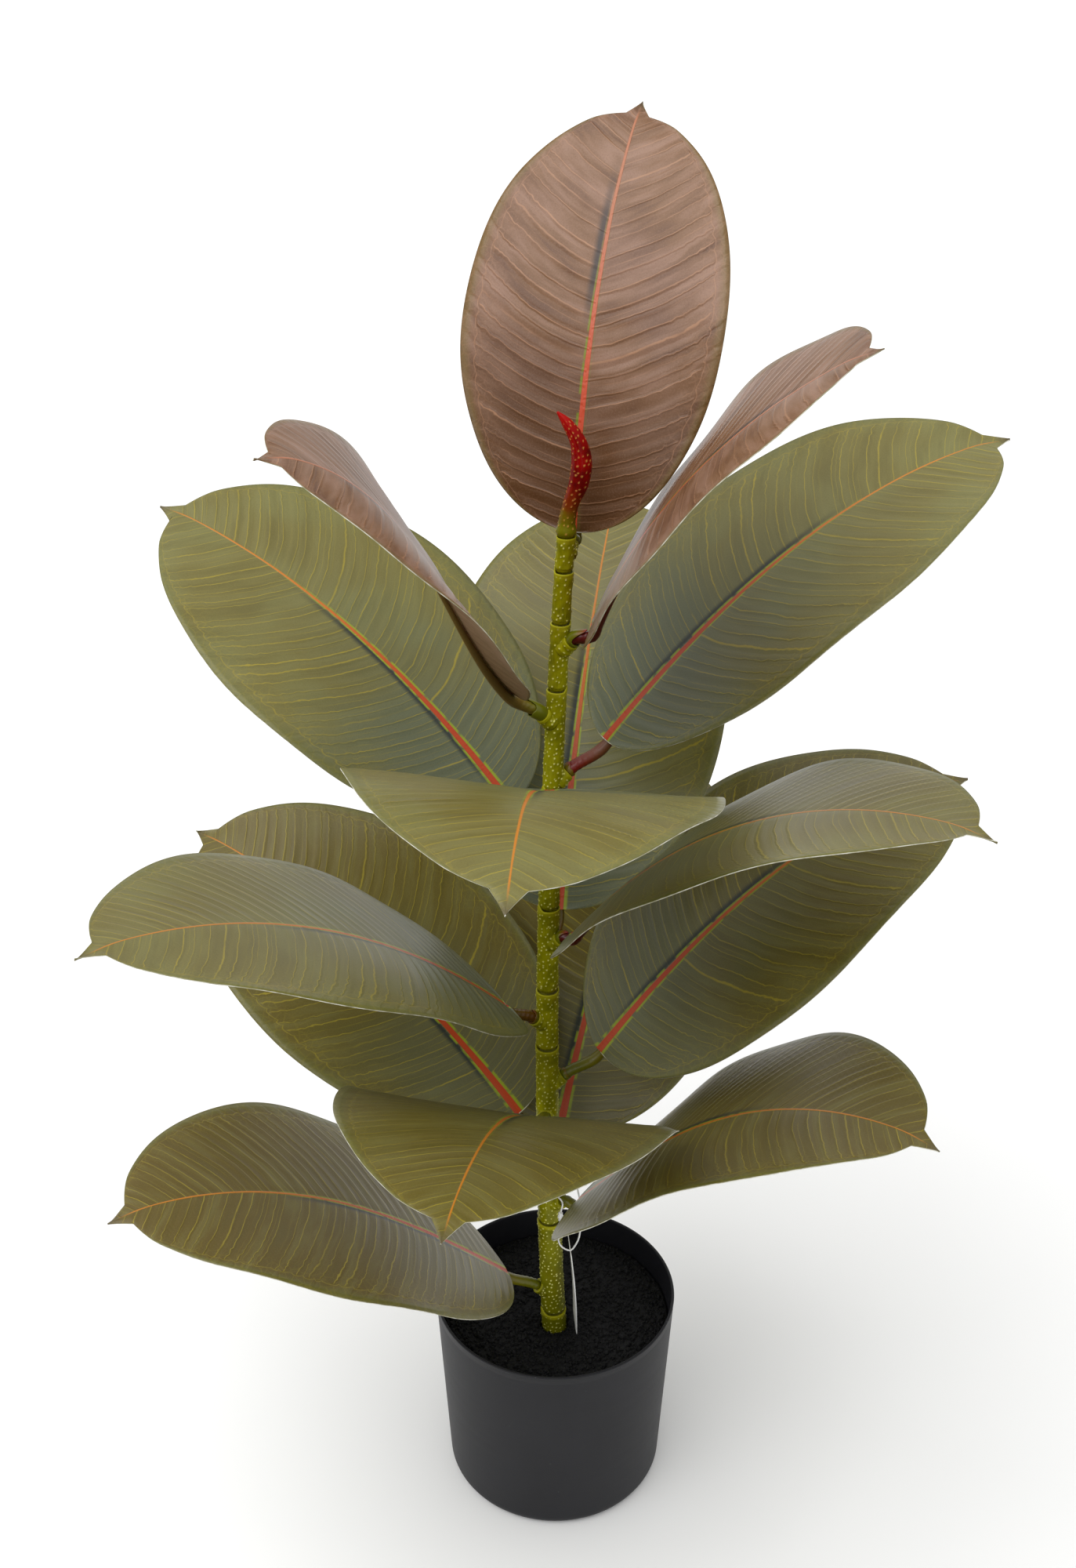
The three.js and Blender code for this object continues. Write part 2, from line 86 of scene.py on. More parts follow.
# socket direction, height, reach, drop; azimuth, sweep; rise; arch; roll; right and left fold; length, width
LEAVES = {
    "leaf_01": (72, 617, 12, 9, 72, -2, (82, 35), 4, (-5, 7), (2, 2), (2, 2), 218, 130),
    "leaf_02": (206, 541, 25, 22, 240, -22, (42, 10), 30, (10, -20), (55, -6), (-30, -7), 224, 136),
    "leaf_03": (-32, 576, 17, 17, -47, 3, (64, 30), 0, (26, 21), (-9, 0), (7, 0), *YOUNG),
    "leaf_04": (149, 465, 24, 19, 149, 5, (46, 13), 2, (-8, -18), (0, 2), (-2, 2), 257, 164),
    "leaf_05": (22, 505, 28, 21, 22, -3, (47, 6), 7, (2, 8), (2, 2), (2, 3), *GROWN),
    "leaf_06": (79, 389, 32, 18, 80, -1, (60, 22), 2, (6, -2), (3, 3), (3, 3), *GROWN),
    "leaf_07": (-94, 497, 30, 27, -94, 0, (23, -14), 21, (0, -7), (2, 2), (2, 2), *GROWN),
    "leaf_08": (145, 263, 20, 18, 145, 3, (42, 8), 1, (-15, -21), (3, 3), (3, 3), *GROWN),
    "leaf_09": (211, 356, 26, 22, 211, 7, (47, -1), 6, (-3, -1), (2, -2), (2, -2), *GROWN),
    "leaf_10": (-34, 400, 16, 14, -34, 0, (55, -6), 8, (3, -6), (-4, 1), (-2, 1), *GROWN),
    "leaf_11": (14, 311, 30, 20, 14, 8, (52, -1), 10, (14, 4), (-2, 2), (0, 2), *GROWN),
    "leaf_12": (78, 234, 32, 20, 70, 0, (52, 20), 0, (10, 4), (3, 3), (3, 3), *GROWN),
    "leaf_13": (-98, 293, 30, 24, -98, -4, (36, -8), 19, (0, -2), (2, 2), (2, 2), *GROWN),
    "leaf_14": (196, 160, 27, 23, 196, 13, (43, -6), 13, (4, -9), (0, 1), (0, 0), 262, 164),
    "leaf_15": (-37, 219, 20, 12, -37, 1, (52, -8), 17, (4, 0), (-2, 3), (-1, 3), *GROWN),
}
FIELDS = (
    "socket", "height", "reach", "drop", "azimuth", "sweep", "rise", "arch", "roll", "right", "left", "length",
    "width",
)
LEAVES = {name: dict(zip(FIELDS, row)) for name, row in LEAVES.items()}
YOUNG_LEAVES = ("leaf_01", "leaf_02", "leaf_03")
# how far a leaf is turned darker and browner, 0 to 1: a browner print and painted shade, more for the lower ones,
# which hang under the others
LOWER_LEAF_SHADE_AND_AGE = {
    "leaf_06": 0.05, "leaf_08": 0.7, "leaf_09": 0.15, "leaf_10": 0.25, "leaf_11": 0.55, "leaf_12": 0.9,
    "leaf_13": 0.6, "leaf_14": 1.0, "leaf_15": 0.85,
}
LEAVES["leaf_02"]["tuck"] = 0.6  # share of the width that is rolled in at the base
TUCK_REACH = 0.5  # the share of the length over which the roll opens


# ------------------------------------------------------------------ arrays
def column(values):
    """A row of numbers as a column, so that it multiplies points."""
    return np.asarray(values, float)[..., None]


def blend(pair, s):
    """The value between the two of pair, at s from 0 to 1."""
    return pair[0] + (pair[1] - pair[0]) * s


def soft_step(x, low, high):
    """0 below low, 1 above high, and a smooth cubic between them."""
    t = np.clip((x - low) / (high - low), 0, 1)
    return t * t * (3 - 2 * t)


def unit(vectors):
    """Vectors divided by their lengths."""
    return vectors / np.linalg.norm(vectors, axis=-1, keepdims=True)


def compass(degrees):
    """The level direction at an angle from +X."""
    angle = math.radians(degrees)
    return np.array([math.cos(angle), math.sin(angle), 0.0])


def through(knots, values, at):
    """A cubic Hermite curve through values at knots, its slopes taken from the neighbours, read at the places at."""
    knots, values, at = np.asarray(knots, float), np.asarray(values, float), np.asarray(at, float)
    slopes = np.gradient(values, knots, axis=0)
    i = np.clip(np.searchsorted(knots, at, side="right") - 1, 0, len(knots) - 2)
    span = knots[i + 1] - knots[i]
    t = (at - knots[i]) / span
    if values.ndim > 1:
        t, span = t[:, None], span[:, None]
    return (
        (2 * t**3 - 3 * t**2 + 1) * values[i]
        + (t**3 - 2 * t**2 + t) * span * slopes[i]
        + (3 * t**2 - 2 * t**3) * values[i + 1]
        + (t**3 - t**2) * span * slopes[i + 1]
    )


def path_lengths(points):
    """The distance along a line of points, from 0 at the first."""
    return np.concatenate([[0.0], np.cumsum(np.linalg.norm(np.diff(points, axis=0), axis=1))])


def tube(points, radii, sides, reference):
    """Rings round a path: centre + radius (side cos a + other sin a), where side is the reference made square to the
    path, and other is square to both. radii holds one number for each ring, or one for each ring and side."""
    tangents = unit(np.gradient(points, axis=0))
    side = unit(reference - column(tangents @ reference) * tangents)
    other = np.cross(tangents, side)
    angles = np.linspace(0, 2 * np.pi, sides, endpoint=False)
    radii = np.broadcast_to(np.asarray(radii, float).reshape(len(points), -1), (len(points), sides))
    ring = side[:, None, :] * np.cos(angles)[None, :, None] + other[:, None, :] * np.sin(angles)[None, :, None]
    return points[:, None, :] + ring * radii[:, :, None]


def quads(rows, columns, closed):
    """Quads between neighbouring rows and columns of a grid. A closed grid joins its last column to its first."""
    i, j = np.meshgrid(np.arange(rows - 1), np.arange(columns if closed else columns - 1), indexing="ij")
    k = (j + 1) % columns
    row, after = i * columns, (i + 1) * columns
    return np.stack([row + j, row + k, after + k, after + j], -1).reshape(-1, 4)


def cut_edge(rows, columns):
    """Point numbers round the outline of a grid, and the quads that join them to the same ones of a second grid whose
    points follow the first one's."""
    rim = np.concatenate([
        np.arange(rows) * columns,
        (rows - 1) * columns + np.arange(1, columns),
        np.arange(rows - 2, -1, -1) * columns + columns - 1,
        np.arange(columns - 2, 0, -1),
    ])
    after, count = np.roll(rim, -1), rows * columns
    return rim, np.stack([rim, rim + count, after + count, after], -1)


def closed_tube(grid):
    """Points and faces of a ring grid, its two ends closed by fans about their centres."""
    rows, sides = grid.shape[:2]
    points = np.concatenate([grid.reshape(-1, 3), grid[0].mean(0)[None], grid[-1].mean(0)[None]])
    first, last = rows * sides, rows * sides + 1
    j = np.arange(sides)
    k = (j + 1) % sides
    low = np.stack([np.full(sides, first), k, j], -1)
    top = (rows - 1) * sides
    high = np.stack([np.full(sides, last), top + j, top + k], -1)
    return points, [quads(rows, sides, True), low, high]


# ------------------------------------------------------------------ objects
def make_piece(
    name, points, faces, materials, stands_for, face_material=None, flat=None, marks=None, uv=None
):
    """A mesh piece in metres from points in millimetres and arrays of faces. The faces numbered in flat are not
    smoothed, marks are values carried by the points, and uv is the bake map's place of each face's corners."""
    mesh = bpy.data.meshes.new(name)
    mesh.from_pydata((np.asarray(points) * MM).tolist(), [], [f for part in faces for f in part.tolist()])
    for material in materials:
        mesh.materials.append(material)
    smooth = np.ones(len(mesh.polygons), bool)
    if flat is not None:
        smooth[flat] = False
    mesh.polygons.foreach_set("use_smooth", smooth)
    if face_material is not None:
        mesh.polygons.foreach_set("material_index", np.asarray(face_material, np.int32))
    for mark, values in (marks or {}).items():
        values = np.asarray(values, np.float32)
        kind, field = ("FLOAT_VECTOR", "vector") if values.ndim > 1 else ("FLOAT", "value")
        mesh.attributes.new(mark, kind, "POINT").data.foreach_set(field, values.ravel())
    if uv is not None:
        mesh.uv_layers.new(name="OFBake").data.foreach_set("uv", np.asarray(uv, np.float32).ravel())
    mesh.update()
    piece = bpy.data.objects.new(name, mesh)
    scene.collection.objects.link(piece)
    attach(piece, BODY)
    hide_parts(*stands_for)
    return piece


def joined(parts):
    """Several (points, faces) as one, with the faces' numbers moved on."""
    points, faces, start = [], [], 0
    for part_points, part_faces in parts:
        points.append(part_points)
        faces += [f + start for f in part_faces]
        start += len(part_points)
    return np.concatenate(points), faces


# ------------------------------------------------------------------ node shorthand
class Nodes:
    """Places nodes in a tree and joins them up. A value is a number, a colour or another node's output."""

    def __init__(self, tree):
        self.tree = tree

    def put(self, socket, value):
        if isinstance(value, bpy.types.NodeSocket):
            self.tree.links.new(value, socket)
        elif value is not None:
            socket.default_value = value

    def add(self, kind, inputs=None, **settings):
        node = self.tree.nodes.new(kind)
        for key, value in settings.items():
            setattr(node, key, value)
        for key, value in (inputs or {}).items():
            self.put(node.inputs[key], value)
        return node

    def sum(self, operation, a, b=None, c=None, clamp=False):
        node = self.add("ShaderNodeMath", operation=operation, use_clamp=clamp)
        for socket, value in zip(node.inputs, (a, b, c)):
            self.put(socket, value)
        return node.outputs[0]

    def times(self, *values):
        result = values[0]
        for value in values[1:]:
            result = self.sum("MULTIPLY", result, value)
        return result

    def plus(self, *values):
        result = values[0]
        for value in values[1:]:
            result = self.sum("ADD", result, value)
        return result

    def step(self, value, low, high, to=(0.0, 1.0)):
        """A smooth step from to[0] at low to to[1] at high."""
        node = self.add("ShaderNodeMapRange", interpolation_type="SMOOTHSTEP")
        for key, number in zip(("Value", "From Min", "From Max", "To Min", "To Max"), (value, low, high, *to)):
            self.put(node.inputs[key], number)
        return node.outputs[0]

    def vector(self, x, y, z=0.0):
        return self.add("ShaderNodeCombineXYZ", {"X": x, "Y": y, "Z": z}).outputs[0]

    def split(self, vector):
        return self.add("ShaderNodeSeparateXYZ", {"Vector": vector}).outputs

    def scaled(self, vector, factors):
        node = self.add("ShaderNodeVectorMath", operation="MULTIPLY")
        self.put(node.inputs[0], vector)
        node.inputs[1].default_value = factors
        return node.outputs[0]

    def noise(self, vector, scale=1.0, detail=2.0, roughness=0.5):
        """Smooth noise about 0.5."""
        inputs = {"Vector": vector, "Scale": scale, "Detail": detail, "Roughness": roughness}
        return self.add("ShaderNodeTexNoise", inputs).outputs["Fac"]

    def cells(self, vector, scale=1.0, feature="F1"):
        return self.add("ShaderNodeTexVoronoi", {"Vector": vector, "Scale": scale}, feature=feature).outputs

    def white(self, value):
        """A random number from 0 to 1 for each whole number."""
        return self.add("ShaderNodeTexWhiteNoise", {"W": value}, noise_dimensions="1D").outputs["Value"]

    def mix(self, share, a, b, mode="MIX"):
        node = self.add("ShaderNodeMix", data_type="RGBA", blend_type=mode)
        for socket, value in zip((node.inputs[0], node.inputs[6], node.inputs[7]), (share, a, b)):
            self.put(socket, value)
        return node.outputs[2]

    def mark(self, name):
        node = self.add("ShaderNodeAttribute", attribute_name=name)
        return node.outputs

    def group(self, group, inputs):
        node = self.tree.nodes.new("ShaderNodeGroup")
        node.node_tree = group
        for key, value in inputs.items():
            self.put(node.inputs[key], value)
        return node.outputs


def colour(red, green, blue):
    """A colour given in the usual 0 to 255 steps, as linear light."""
    def linear(step):
        c = step / 255
        return c / 12.92 if c <= 0.04045 else ((c + 0.055) / 1.055) ** 2.4
    return (linear(red), linear(green), linear(blue), 1.0)


def new_group(name, inputs, outputs):
    """An empty shader node group with named inputs {name: default} and outputs {name: kind}."""
    tree = bpy.data.node_groups.new(name, "ShaderNodeTree")
    for key, default in inputs.items():
        kind = "NodeSocketVector" if isinstance(default, tuple) else "NodeSocketFloat"
        socket = tree.interface.new_socket(key, in_out="INPUT", socket_type=kind)
        socket.default_value = default
    for key, kind in outputs.items():
        tree.interface.new_socket(key, in_out="OUTPUT", socket_type=kind)
    nodes = Nodes(tree)
    return nodes, tree.nodes.new("NodeGroupInput").outputs, tree.nodes.new("NodeGroupOutput").inputs


def new_material(name, roughness, **constants):
    """A material with its Principled shader. Constants are set on the shader's own sockets."""
    material = bpy.data.materials.new(name)
    material.use_nodes = True
    tree = material.node_tree
    shader = tree.nodes["Principled BSDF"]
    shader.inputs["Roughness"].default_value = roughness
    for key, value in constants.items():
        shader.inputs[key.replace("_", " ")].default_value = value
    return material, Nodes(tree), shader.inputs


def relief(nodes, height, strength, distance, normal=None):
    """A Bump node's normal for a height in units of distance."""
    inputs = {"Height": height, "Strength": strength, "Distance": distance}
    if normal is not None:
        inputs["Normal"] = normal
    return nodes.add("ShaderNodeBump", inputs).outputs[0]


# ------------------------------------------------------------------ shared effects
def grain_group():
    """Fine moulded grain: noise at two sizes as a height, and a slow cloud for a change of tone."""
    nodes, given, out = new_group(
        "moulded_grain", {"Fine": 900.0, "Cloud": 40.0}, {"Height": "NodeSocketFloat", "Tone": "NodeSocketFloat"}
    )
    place = nodes.add("ShaderNodeTexCoord").outputs["Object"]
    fine = nodes.noise(place, given["Fine"], 3.0, 0.6)
    nodes.put(out["Height"], fine)
    nodes.put(out["Tone"], nodes.noise(place, given["Cloud"], 3.0, 0.55))
    return nodes.tree


def print_group():
    """The print on a leaf. The mark "print" holds s from base to tip, the signed distance from the midrib as a share
    of the length, and the place across from -1 to 1. A vein is where (s - lean x - curl x x) N is a whole number and
    a half, x being the distance from the midrib. Veins end at a scalloped vein that follows the edge."""
    given_names = {
        "Veins": 30.0, "Length": 268.0, "Shadow Start": 0.02, "Shadow End": 0.68,
        "Rib": 1.6, "Rib Power": 2.2, "Right Border": 1.0,
    }
    results = (
        "Vein", "Fine Vein", "Edge Vein", "Midrib", "Border", "Shadow", "Margin", "Heart", "Streak", "Cloud",
        "Along", "Speckle", "Height",
    )
    nodes, given, out = new_group("leaf_print", given_names, {key: "NodeSocketFloat" for key in results})
    s, x, v = nodes.split(nodes.mark("print")["Vector"])
    left = nodes.sum("GREATER_THAN", x, 0.0)
    away = nodes.sum("ABSOLUTE", x)
    across = nodes.sum("ABSOLUTE", v)
    length = given["Length"]
    place = nodes.vector(nodes.times(s, length), nodes.times(x, length), nodes.times(left, 40.0))

    # the veins' lines, with a slow wander and a zigzag that grows towards the edge
    wander = nodes.plus(nodes.noise(place, 0.035, 1.0), -0.5)
    zigzag = nodes.plus(nodes.noise(place, 0.24, 1.0), -0.5)
    zigzag = nodes.times(zigzag, nodes.step(across, 0.4, 0.92, (0.003, 0.013)))
    lean = nodes.plus(nodes.times(s, s, 0.55), 0.15)
    curl = nodes.times(away, away, -0.75)
    q = nodes.plus(s, nodes.times(away, lean, -1.0), curl, nodes.times(wander, 0.014), zigzag)
    number = nodes.times(q, given["Veins"])
    jitter = nodes.noise(nodes.vector(nodes.times(number, 0.9), nodes.times(left, 31.0), 0.0), 1.0, 0.0)
    number = nodes.plus(number, nodes.times(jitter, 1.1), nodes.times(left, 0.37))
    spacing = nodes.sum("DIVIDE", length, given["Veins"])

    def line(value, thin, wide, seed, weakest):
        """A line at each whole number and a half of value, its strength picked at random for each."""
        middle = nodes.times(nodes.sum("ABSOLUTE", nodes.plus(nodes.sum("FRACT", value), -0.5)), spacing)
        strength = nodes.white(nodes.plus(nodes.sum("FLOOR", value), nodes.times(left, 57.0), seed))
        strength = nodes.plus(nodes.times(strength, 1.0 - weakest), weakest)
        return nodes.times(nodes.step(middle, thin, wide, (1.0, 0.0)), strength), middle

    inside = nodes.step(across, 0.868, 0.895, (1.0, 0.0))
    uneven = nodes.step(nodes.noise(place, 0.09, 2.0), 0.3, 0.6, (0.5, 1.0))
    vein, middle = line(number, 0.1, 0.4, 3.0, 0.45)
    vein = nodes.times(vein, inside, uneven)
    ridge = nodes.times(nodes.step(middle, 0.0, 1.7, (1.0, 0.0)), inside)
    fine = line(nodes.plus(nodes.times(number, 2.0), 0.5), 0.1, 0.62, 11.0, 0.1)[0]
    fine = nodes.times(fine, inside, nodes.step(nodes.noise(place, 0.06, 1.0), 0.38, 0.58, (0.25, 1.0)))

    # the scalloped vein along the edge, and a net of small cells beside it
    arc = nodes.sum("ABSOLUTE", nodes.sum("SINE", nodes.times(number, math.pi)))
    rim = nodes.plus(across, nodes.times(arc, -0.02), -0.874, nodes.times(wander, 0.03))
    edge_vein = nodes.step(nodes.sum("ABSOLUTE", rim), 0.0012, 0.0062, (1.0, 0.0))
    net = nodes.cells(place, 0.17, "DISTANCE_TO_EDGE")["Distance"]
    net = nodes.times(nodes.step(net, 0.01, 0.07, (1.0, 0.0)), nodes.step(across, 0.66, 0.88))
    fine = nodes.sum("MAXIMUM", fine, nodes.times(net, 0.35))

    # the midrib thins towards the tip and has a pale border on both sides
    half = nodes.sum("POWER", nodes.sum("SUBTRACT", 1.0, s, clamp=True), given["Rib Power"])
    half = nodes.plus(nodes.times(half, given["Rib"]), 0.42)
    off = nodes.times(away, length)
    beyond = nodes.plus(off, nodes.times(half, -1.0), nodes.times(wander, 0.5))
    midrib = nodes.times(nodes.step(beyond, -0.25, 0.25, (1.0, 0.0)), nodes.step(s, 0.93, 0.985, (1.0, 0.0)))
    narrowed = nodes.times(beyond, nodes.plus(nodes.times(s, 1.1), 0.55))
    border = nodes.times(nodes.step(beyond, -0.1, 0.2), nodes.step(narrowed, 0.7, 1.5, (1.0, 0.0)))
    broken = nodes.step(nodes.noise(place, 0.16, 1.0), 0.3, 0.5)
    border = nodes.times(border, nodes.step(s, 0.4, 0.78, (1.0, 0.0)), broken)
    border = nodes.times(border, nodes.sum("MAXIMUM", left, given["Right Border"]))

    # a blurred shadow printed beside the midrib, on its left
    shadow = nodes.times(nodes.step(beyond, 0.1, 1.3), nodes.step(beyond, 2.0, 5.6, (1.0, 0.0)), left)
    shadow = nodes.times(
        shadow,
        nodes.step(s, given["Shadow Start"], nodes.plus(given["Shadow Start"], 0.14)),
        nodes.step(s, nodes.plus(given["Shadow End"], -0.22), given["Shadow End"], (1.0, 0.0)),
    )

    # slower changes of tone
    heart = nodes.times(nodes.step(off, 4.0, 66.0, (1.0, 0.0)), nodes.step(s, 0.15, 0.85, (1.0, 0.0)))
    lanes = nodes.vector(nodes.times(number, 0.8), nodes.times(away, 5.0), nodes.times(left, 9.0))
    streak = nodes.noise(lanes, 1.0, 3.0, 0.6)
    cloud = nodes.noise(place, 0.017, 2.0, 0.5)
    margin = nodes.step(across, 0.9, 0.97)
    speckle = nodes.noise(place, 1.1, 3.0, 0.75)

    # cushions between the veins, higher towards the next one
    cushion = nodes.sum("FRACT", nodes.plus(number, 0.5))
    cushion = nodes.times(nodes.step(cushion, 0.0, 0.25), nodes.step(cushion, 0.55, 1.0, (1.0, 0.0)))
    height = nodes.plus(nodes.times(cushion, 0.5), nodes.times(ridge, 0.7), nodes.times(midrib, 0.5))
    height = nodes.plus(height, nodes.times(speckle, 0.12))

    shown = (vein, fine, edge_vein, midrib, border, shadow, margin, heart, streak, cloud, s, speckle, height)
    for key, value in zip(results, shown):
        nodes.put(out[key], value)
    return nodes.tree


GRAIN = grain_group()
PRINT = print_group()


# ------------------------------------------------------------------ materials
def leaf_material(name, tones, sizes, roughness, relief_strength):
    """Printed cloth. tones names the print's colours and sizes its lengths, in millimetres or shares of the blade. A
    per-leaf mark turns the lower leaves darker and browner: a browner print and painted shade.
    """
    material, nodes, shader = new_material(name, roughness, Specular_IOR_Level=0.44)
    shown = nodes.group(PRINT, sizes)
    ground = nodes.mix(nodes.step(shown["Cloud"], 0.36, 0.64), tones["ground"], tones["ground_far"])
    # painted shade: the per-leaf mark darkens and browns the lower leaves' ground and weakens their heart and foot
    # tones, along with a browner print
    shade_and_age = nodes.mark("shade_and_age")["Fac"]
    fresh_and_lit = nodes.plus(nodes.times(shade_and_age, -0.7), 1.0)
    ground = nodes.mix(nodes.times(shade_and_age, 0.9), ground, tones["aged_and_shaded"])
    ground = nodes.mix(nodes.times(nodes.step(shown["Streak"], 0.42, 0.7), tones["contrast"]), ground, tones["streak"])
    ground = nodes.mix(nodes.times(nodes.step(shown["Streak"], 0.5, 0.28), tones["contrast"]), ground, tones["dark"])
    ground = nodes.mix(nodes.times(shown["Heart"], fresh_and_lit, tones["heart_share"]), ground, tones["heart"])
    foot = nodes.plus(shown["Along"], nodes.times(nodes.plus(shown["Cloud"], -0.5), 0.5))
    foot = nodes.times(nodes.step(foot, 0.05, 0.5, (tones["foot_share"], 0.0)), fresh_and_lit)
    ground = nodes.mix(foot, ground, tones["foot"])
    ground = nodes.mix(nodes.times(shown["Margin"], 0.6), ground, tones["margin"])
    ground = nodes.mix(nodes.times(nodes.step(shown["Speckle"], 0.52, 0.66), 0.22), ground, tones["streak"])
    ground = nodes.mix(nodes.times(nodes.step(shown["Speckle"], 0.48, 0.34), 0.25), ground, tones["dark"])
    ground = nodes.mix(nodes.times(shown["Fine Vein"], 0.4), ground, tones["vein"])
    ground = nodes.mix(nodes.times(shown["Vein"], 0.8), ground, tones["vein"])
    ground = nodes.mix(nodes.times(shown["Edge Vein"], 0.4), ground, tones["vein"])
    ground = nodes.mix(nodes.times(shown["Shadow"], 0.9), ground, tones["shadow"])
    ground = nodes.mix(nodes.times(shown["Border"], 0.85), ground, tones["border"])
    rib = nodes.mix(nodes.step(shown["Along"], 0.2, 0.8), tones["midrib"], tones["midrib_far"])
    ground = nodes.mix(shown["Midrib"], ground, rib)
    ground = nodes.mix(nodes.step(shown["Along"], 0.965, 1.0), ground, tones["tip"])
    nodes.put(shader["Base Color"], ground)
    rough = nodes.plus(roughness - 0.06, nodes.times(shown["Streak"], 0.16), nodes.times(shown["Cloud"], -0.05))
    nodes.put(shader["Roughness"], rough)
    nodes.put(shader["Normal"], relief(nodes, shown["Height"], relief_strength, 0.0004))
    return material


def edge_material():
    """The cut edge of the cloth, white with a little fray."""
    material, nodes, shader = new_material("cut_edge", 0.75)
    grain = nodes.group(GRAIN, {"Fine": 1500.0, "Cloud": 160.0})
    tone = nodes.mix(nodes.step(grain["Tone"], 0.35, 0.65), colour(206, 204, 190), colour(150, 147, 118))
    nodes.put(shader["Base Color"], tone)
    nodes.put(shader["Normal"], relief(nodes, grain["Height"], 0.4, 0.0002))
    return material


GROWN_TONES = {
    "ground": colour(117, 114, 62), "ground_far": colour(112, 104, 48), "aged_and_shaded": colour(95, 76, 15),
    "streak": colour(126, 121, 68), "dark": colour(90, 82, 32), "contrast": 0.4,
    "heart": colour(94, 101, 72), "heart_share": 0.6, "foot": colour(90, 98, 78), "foot_share": 0.8,
    "margin": colour(108, 108, 54), "vein": colour(164, 147, 44), "shadow": colour(30, 38, 38),
    "border": colour(150, 164, 16), "midrib": colour(184, 62, 14), "midrib_far": colour(196, 122, 30),
    "tip": colour(94, 84, 54),
}
GROWN_BACK_TONES = {
    "ground": colour(114, 118, 62), "ground_far": colour(106, 110, 52), "aged_and_shaded": colour(98, 94, 38),
    "streak": colour(122, 126, 70), "dark": colour(92, 96, 44), "contrast": 0.4,
    "heart": colour(110, 114, 62), "heart_share": 0.3, "foot": colour(102, 108, 70), "foot_share": 0.4,
    "margin": colour(108, 112, 56), "vein": colour(142, 142, 78), "shadow": colour(102, 106, 44),
    "border": colour(128, 134, 60), "midrib": colour(138, 126, 50), "midrib_far": colour(132, 130, 58),
    "tip": colour(96, 88, 40),
}
YOUNG_TONES = {
    "ground": colour(124, 90, 68), "ground_far": colour(120, 84, 52), "aged_and_shaded": colour(110, 76, 42),
    "streak": colour(154, 120, 100), "dark": colour(84, 48, 22), "contrast": 0.75,
    "heart": colour(110, 74, 50), "heart_share": 0.4, "foot": colour(84, 54, 26), "foot_share": 0.8,
    "margin": colour(116, 96, 48), "vein": colour(172, 128, 96), "shadow": colour(52, 44, 42),
    "border": colour(118, 130, 20), "midrib": colour(196, 70, 36), "midrib_far": colour(176, 112, 80),
    "tip": colour(98, 78, 46),
}
YOUNG_BACK_TONES = {
    "ground": colour(130, 98, 72), "ground_far": colour(124, 90, 62), "aged_and_shaded": colour(116, 84, 56),
    "streak": colour(142, 108, 84), "dark": colour(106, 74, 50), "contrast": 0.5,
    "heart": colour(124, 94, 66), "heart_share": 0.4, "foot": colour(108, 84, 50), "foot_share": 0.5,
    "margin": colour(120, 100, 58), "vein": colour(160, 126, 100), "shadow": colour(116, 86, 60),
    "border": colour(126, 118, 60), "midrib": colour(170, 96, 62), "midrib_far": colour(158, 110, 80),
    "tip": colour(104, 82, 52),
}
GROWN_PRINT = {
    "Veins": 37.0, "Length": 268.0, "Shadow Start": 0.02, "Shadow End": 0.68, "Rib": 2.0, "Rib Power": 2.0,
    "Right Border": 1.0,
}
YOUNG_PRINT = {
    "Veins": 27.0, "Length": 230.0, "Shadow Start": 0.42, "Shadow End": 0.86, "Rib": 1.3, "Rib Power": 0.9,
    "Right Border": 0.15,
}

CUT_EDGE = edge_material()
LEAF_FRONT = leaf_material("leaf_print", GROWN_TONES, GROWN_PRINT, 0.4, 0.5)
LEAF_BACK = leaf_material("leaf_back", GROWN_BACK_TONES, GROWN_PRINT, 0.6, 0.4)
YOUNG_FRONT = leaf_material("young_leaf_print", YOUNG_TONES, YOUNG_PRINT, 0.36, 0.8)
YOUNG_BACK = leaf_material("young_leaf_back", YOUNG_BACK_TONES, YOUNG_PRINT, 0.55, 0.5)


def bark_material(name, green, deep, pale, tint, roughness=0.42):
    """Moulded bark: green with brown clouds, pale raised dots (mark "dot") and a pale joint (mark "rim")."""
    material, nodes, shader = new_material(
        name, roughness, Specular_IOR_Level=0.16, Coat_Weight=0.03, Coat_Roughness=0.25
    )
    grain = nodes.group(GRAIN, {"Fine": 1100.0, "Cloud": 95.0})
    place = nodes.add("ShaderNodeTexCoord").outputs["Object"]
    fibres = nodes.noise(nodes.scaled(place, (900.0, 900.0, 120.0)), 1.0, 2.0)
    tone = nodes.mix(nodes.step(grain["Tone"], 0.38, 0.66), green, deep)
    tone = nodes.mix(nodes.times(nodes.step(fibres, 0.5, 0.75), 0.35), tone, pale)
    brown = nodes.step(nodes.noise(place, 34.0, 2.0), 0.56, 0.72, (0.0, 0.55))
    tone = nodes.mix(brown, tone, tint)
    # painted shade: the lowest part of the stem, below 0.13 to 0.26 m up near the soil, is darkened towards a deep
    # green
    foot = nodes.step(nodes.split(place)[2], 0.13, 0.26, (0.75, 0.0))
    tone = nodes.mix(foot, tone, colour(88, 90, 1))
    tone = nodes.mix(nodes.times(nodes.mark("rim")["Fac"], 0.75), tone, pale)
    tone = nodes.mix(nodes.mark("dot")["Fac"], tone, colour(238, 236, 140))
    nodes.put(shader["Base Color"], tone)
    nodes.put(shader["Roughness"], nodes.plus(roughness - 0.08, nodes.times(fibres, 0.16)))
    nodes.put(shader["Normal"], relief(nodes, nodes.plus(grain["Height"], nodes.times(fibres, 1.2)), 0.35, 0.00025))
    return material


STEM_GREEN = bark_material(
    "stem_bark", colour(148, 145, 1), colour(122, 121, 1), colour(170, 165, 22), colour(112, 88, 3)
)


